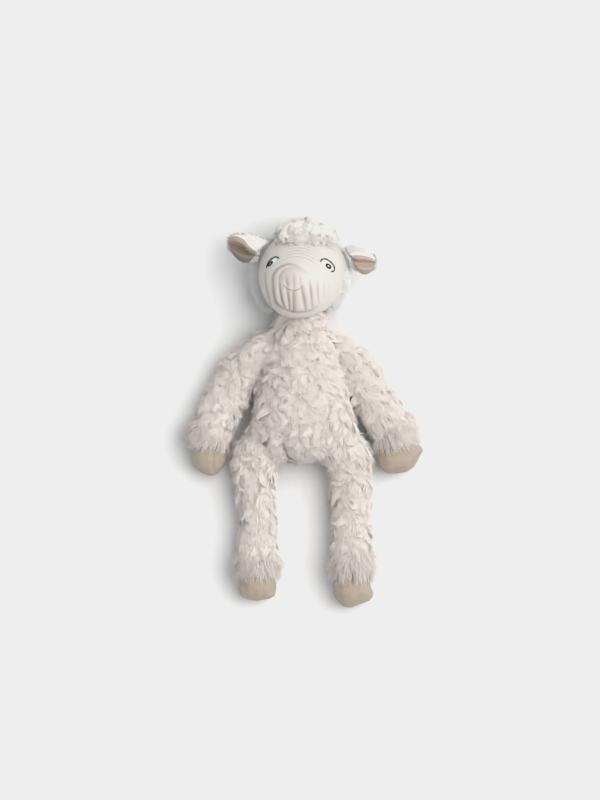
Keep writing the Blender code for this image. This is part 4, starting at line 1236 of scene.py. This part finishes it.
def build_ear(side):
    rows = EAR_ROWS[side]
    body = side + "_ear"
    front = ear_grid([row[:5] for row in rows], EAR_LEVELS[side])
    # The lining's colour across it is painted shade, darker towards its lower edge
    lining = closed_leaf(side + "_ear_velvet", front, 1.4 * MM, EAR_PAINTED_SHADES[side])
    dress(lining, VELVET, body, "ear_velvet", side + "_ear_lining")
    shell_rows = [(row[5], row[0], row[1], row[2], row[3], row[6]) for row in rows]
    shell = ear_grid(shell_rows, EAR_SHELL_LEVELS[side]) - [0, 0, 1.6 * MM]
    outer = closed_leaf(side + "_ear_backing", shell, 3.5 * MM)
    dress(outer, PLUSH_BACKING, body, "white_plush", side + "_ear_outer")
    rng = np.random.default_rng(61)
    roots, normals = Skin(outer.data).spread(EAR_FIBRES, rng)
    over = Skin(lining.data)
    clear = np.linalg.norm(over.onto(roots)[0] - roots, axis=1) > 2.2 * MM
    clear &= np.array([over.tree.ray_cast(Vector(root), Vector((0, 0, 1)), 12 * MM)[0] is None for root in roots])
    keep = (normals[:, 2] < 0.0) | clear
    roots, normals = roots[keep], normals[keep]
    lean = 0.35 * unit(roots - roots.mean(0))
    gather = Tubes()
    lay_straight(
        gather, roots, unit(normals + lean), normals, np.zeros_like(roots), rng,
        2.6 * MM, 0.2, 0.19 * MM, 0.5, 3,
    )
    dress(gather.piece(side + "_ear_plush"), WHITE, body, "white_plush")


# Stitched face

# Each eye's lid line, pupil and white in pixels, its turn in degrees and how narrow its ovals are
EYES = {
    "right": (
        ((266.5, 268.3), (268, 263.5), (270.5, 260), (273.5, 257.6), (276.5, 257), (279.5, 258.5)),
        (270.8, 263.9), (272.6, 262.8), -48, 0.5,
    ),
    "left": (
        ((320.4, 262), (321.6, 259.8), (324.5, 258.9), (328.5, 260.6), (332, 263.6), (334.3, 267.6), (333.6, 271),
         (330.8, 271.8)),
        (328.2, 266.3), (327.2, 265.4), 42, 0.72,
    ),
}
NOSE_LINE = (
    (283.6, 284.6), (286.5, 287.6), (290, 289.6), (293.6, 290.3), (297.5, 289.6), (301, 287.6), (303.2, 285.4),
)
MOUTH_LINE = ((293.4, 291.6), (293.3, 297), (293.5, 303), (293.9, 308), (294.1, 312.4))
THREAD_SIDES = 8


class Seen:
    """A surface, where the camera sees a pixel of the photograph."""

    def __init__(self, skin):
        self.skin = skin
        self.eye = Vector((*plan(*CAMERA_PIXEL), CAMERA_HEIGHT))

    def at(self, pixels, lift):
        places = []
        for across, down in pixels:
            floor = Vector((*plan(across, down), 0))
            hit, normal, _, _ = self.skin.tree.ray_cast(self.eye, (floor - self.eye).normalized())
            places.append(np.array(hit + normal * lift))
        return np.array(places)


def smooth_line(points, samples):
    """Points evenly spaced on a smooth curve through the given ones."""
    points = np.asarray(points, float)
    steps = np.concatenate([[0], np.cumsum(np.linalg.norm(np.diff(points, axis=0), axis=1))])
    at = np.linspace(0, steps[-1], samples)
    slopes = np.gradient(points, steps, axis=0)
    low = np.clip(np.searchsorted(steps, at, side="right") - 1, 0, len(points) - 2)
    span = steps[low + 1] - steps[low]
    t = ((at - steps[low]) / span)[:, None]
    span = span[:, None]
    return (
        (2 * t**3 - 3 * t**2 + 1) * points[low]
        + (t**3 - 2 * t**2 + t) * span * slopes[low]
        + (3 * t**2 - 2 * t**3) * points[low + 1]
        + (t**3 - t**2) * span * slopes[low + 1]
    )


def thread(gather, line, radius, stitches):
    """A thread along a line, as back stitches that dip into the cloth between one and the next."""
    samples = 6 * stitches + 1
    line = smooth_line(line, samples)
    tangents = unit(np.gradient(line, axis=0))
    up = unit(np.array([0, 0, 1]) - dot(tangents, np.array([0, 0, 1.0])) * tangents)
    across = np.cross(up, tangents)
    swell = np.abs(np.sin(np.linspace(0, stitches * math.pi, samples)))
    centre = line + up * (0.25 * radius * swell)[:, None]
    thick = radius * (0.72 + 0.28 * swell)
    thick[[0, -1]] = 0.3 * radius
    gather.add(
        centre[None], across[None], up[None], thick[None], thick[None], THREAD_SIDES, np.full((1, samples), 0.5)
    )


def patch(gather, face, middle, long_way, half_long, half_short, hole, lift, stitches):
    """An oval of satin stitches, or a ring where there is a hole: short threads side by side."""
    cos, sin = math.cos(long_way), math.sin(long_way)
    for stitch in range(stitches):
        share = (stitch + 0.5) / stitches * 2 - 1
        if hole:
            angle = math.pi * share
            ends = ((hole * math.cos(angle), hole * math.sin(angle)), (math.cos(angle), math.sin(angle)))
        else:
            chord = math.sqrt(1 - share**2)
            ends = ((share, -chord), (share, chord))
        pixels = []
        for step in np.linspace(0, 1, 5):
            u = (ends[0][0] + (ends[1][0] - ends[0][0]) * step) * half_long
            v = (ends[0][1] + (ends[1][1] - ends[0][1]) * step) * half_short
            pixels.append((middle[0] + u * cos - v * sin, middle[1] + u * sin + v * cos))
        round_it = math.pi * (half_long + half_short) / 2 if hole else half_long
        width = round_it * 2 / stitches * PIXEL / 2
        thread(gather, face.at(pixels, lift), width * 1.25, 1)


def line_piece(name, face, pixels, lift, radius, stitches, material, slot, node):
    """A piece that is one stitched line."""
    gather = Tubes()
    thread(gather, face.at(pixels, lift), radius, stitches)
    dress(gather.piece(name), material, "head", slot, node)


def build_stitches(face):
    for side, (lid, pupil, white, turn, narrow) in EYES.items():
        eye = side + "_eye"
        turn = math.radians(turn)
        line_piece(
            eye + "_lid_stitches", face, lid, 0.25 * MM, 0.6 * MM, 5, BLACK, "black_thread", eye + "_lid"
        )
        gather = Tubes()
        patch(gather, face, white, turn, 5.6, 4.4 * narrow, 0, 0.0, 18)
        patch(gather, face, pupil, turn, 1.0, 0.9 * narrow, 0, 0.55 * MM, 5)
        dress(gather.piece(eye + "_white_stitches"), WHITE_THREAD, "head", "white_thread", eye + "_white")
        gather = Tubes()
        patch(gather, face, pupil, turn, 3.5, 3.1 * narrow, 0.3, 0.4 * MM, 22)
        dress(gather.piece(eye + "_pupil_stitches"), BLACK, "head", "black_thread", eye + "_pupil")
    line_piece("nose_thread", face, NOSE_LINE, 0.25 * MM, 0.4 * MM, 7, BROWN, "brown_thread", "nose_stitch")
    line_piece("mouth_thread", face, MOUTH_LINE, 0.6 * MM, 0.4 * MM, 6, BROWN, "brown_thread", "mouth_stitch")


# Stage

WHITE_LEVEL = 0.855
FLOOR_GREY = (0.85, 0.85, 0.85, 1)
SKY = (0.97, 0.985, 1, 1)
SKY_STRENGTH = 0.46
KEY_PLACE = (1.1, 0.45, 2.0)
KEY_COLOUR = (1, 0.99, 0.975)


def expose(view):
    """A bright exposure in which the floor burns out to an even pale grey, as in the photograph."""
    view.view_transform = "Standard"
    view.use_curve_mapping = True
    curve = view.curve_mapping.curves[3]
    curve.points[0].location = (0, 0)
    curve.points[1].location = (WHITE_LEVEL, WHITE_LEVEL)
    for point in curve.points:
        point.handle_type = "VECTOR"
    view.curve_mapping.extend = "HORIZONTAL"
    view.curve_mapping.update()


def sun(name, energy, degrees):
    data = bpy.data.lights.new(name, "SUN")
    data.energy = energy
    data.angle = math.radians(degrees)
    return placed(name, data)


def build_stage():
    bpy.ops.mesh.primitive_plane_add(size=12)
    floor = bpy.context.object
    floor.name = "floor"
    paper = Look("floor_paper", 0.9, 0)
    paper.shader.inputs["Base Color"].default_value = FLOOR_GREY
    floor.data.materials.append(paper.material)
    scene = bpy.context.scene
    expose(scene.view_settings)
    scene.world = bpy.data.worlds.new("studio")
    scene.world.use_nodes = True
    background = scene.world.node_tree.nodes["Background"]
    background.inputs["Color"].default_value = SKY
    background.inputs["Strength"].default_value = SKY_STRENGTH
    key = sun("key", 2.3, 52)
    key.data.color = KEY_COLOUR
    key.location = KEY_PLACE
    key.rotation_euler = (-key.location).to_track_quat("-Z", "Y").to_euler()
    sun("top", 0.4, 80)


def build_camera():
    data = bpy.data.cameras.new("camera")
    camera = placed("camera", data)
    camera.location = (*plan(*CAMERA_PIXEL), CAMERA_HEIGHT)
    data.lens = data.sensor_width * CAMERA_HEIGHT / (2 * CAMERA_PIXEL[1] * PIXEL)
    data.clip_end = 20
    bpy.context.scene.camera = camera


build_stage()
build_camera()
HEAD_SKIN = build_head()
build_coat()
for end_name in LIMBS.values():
    build_hoof(end_name)
build_tuft(HEAD_SKIN)
build_ear("left")
build_ear("right")
build_stitches(Seen(HEAD_SKIN))
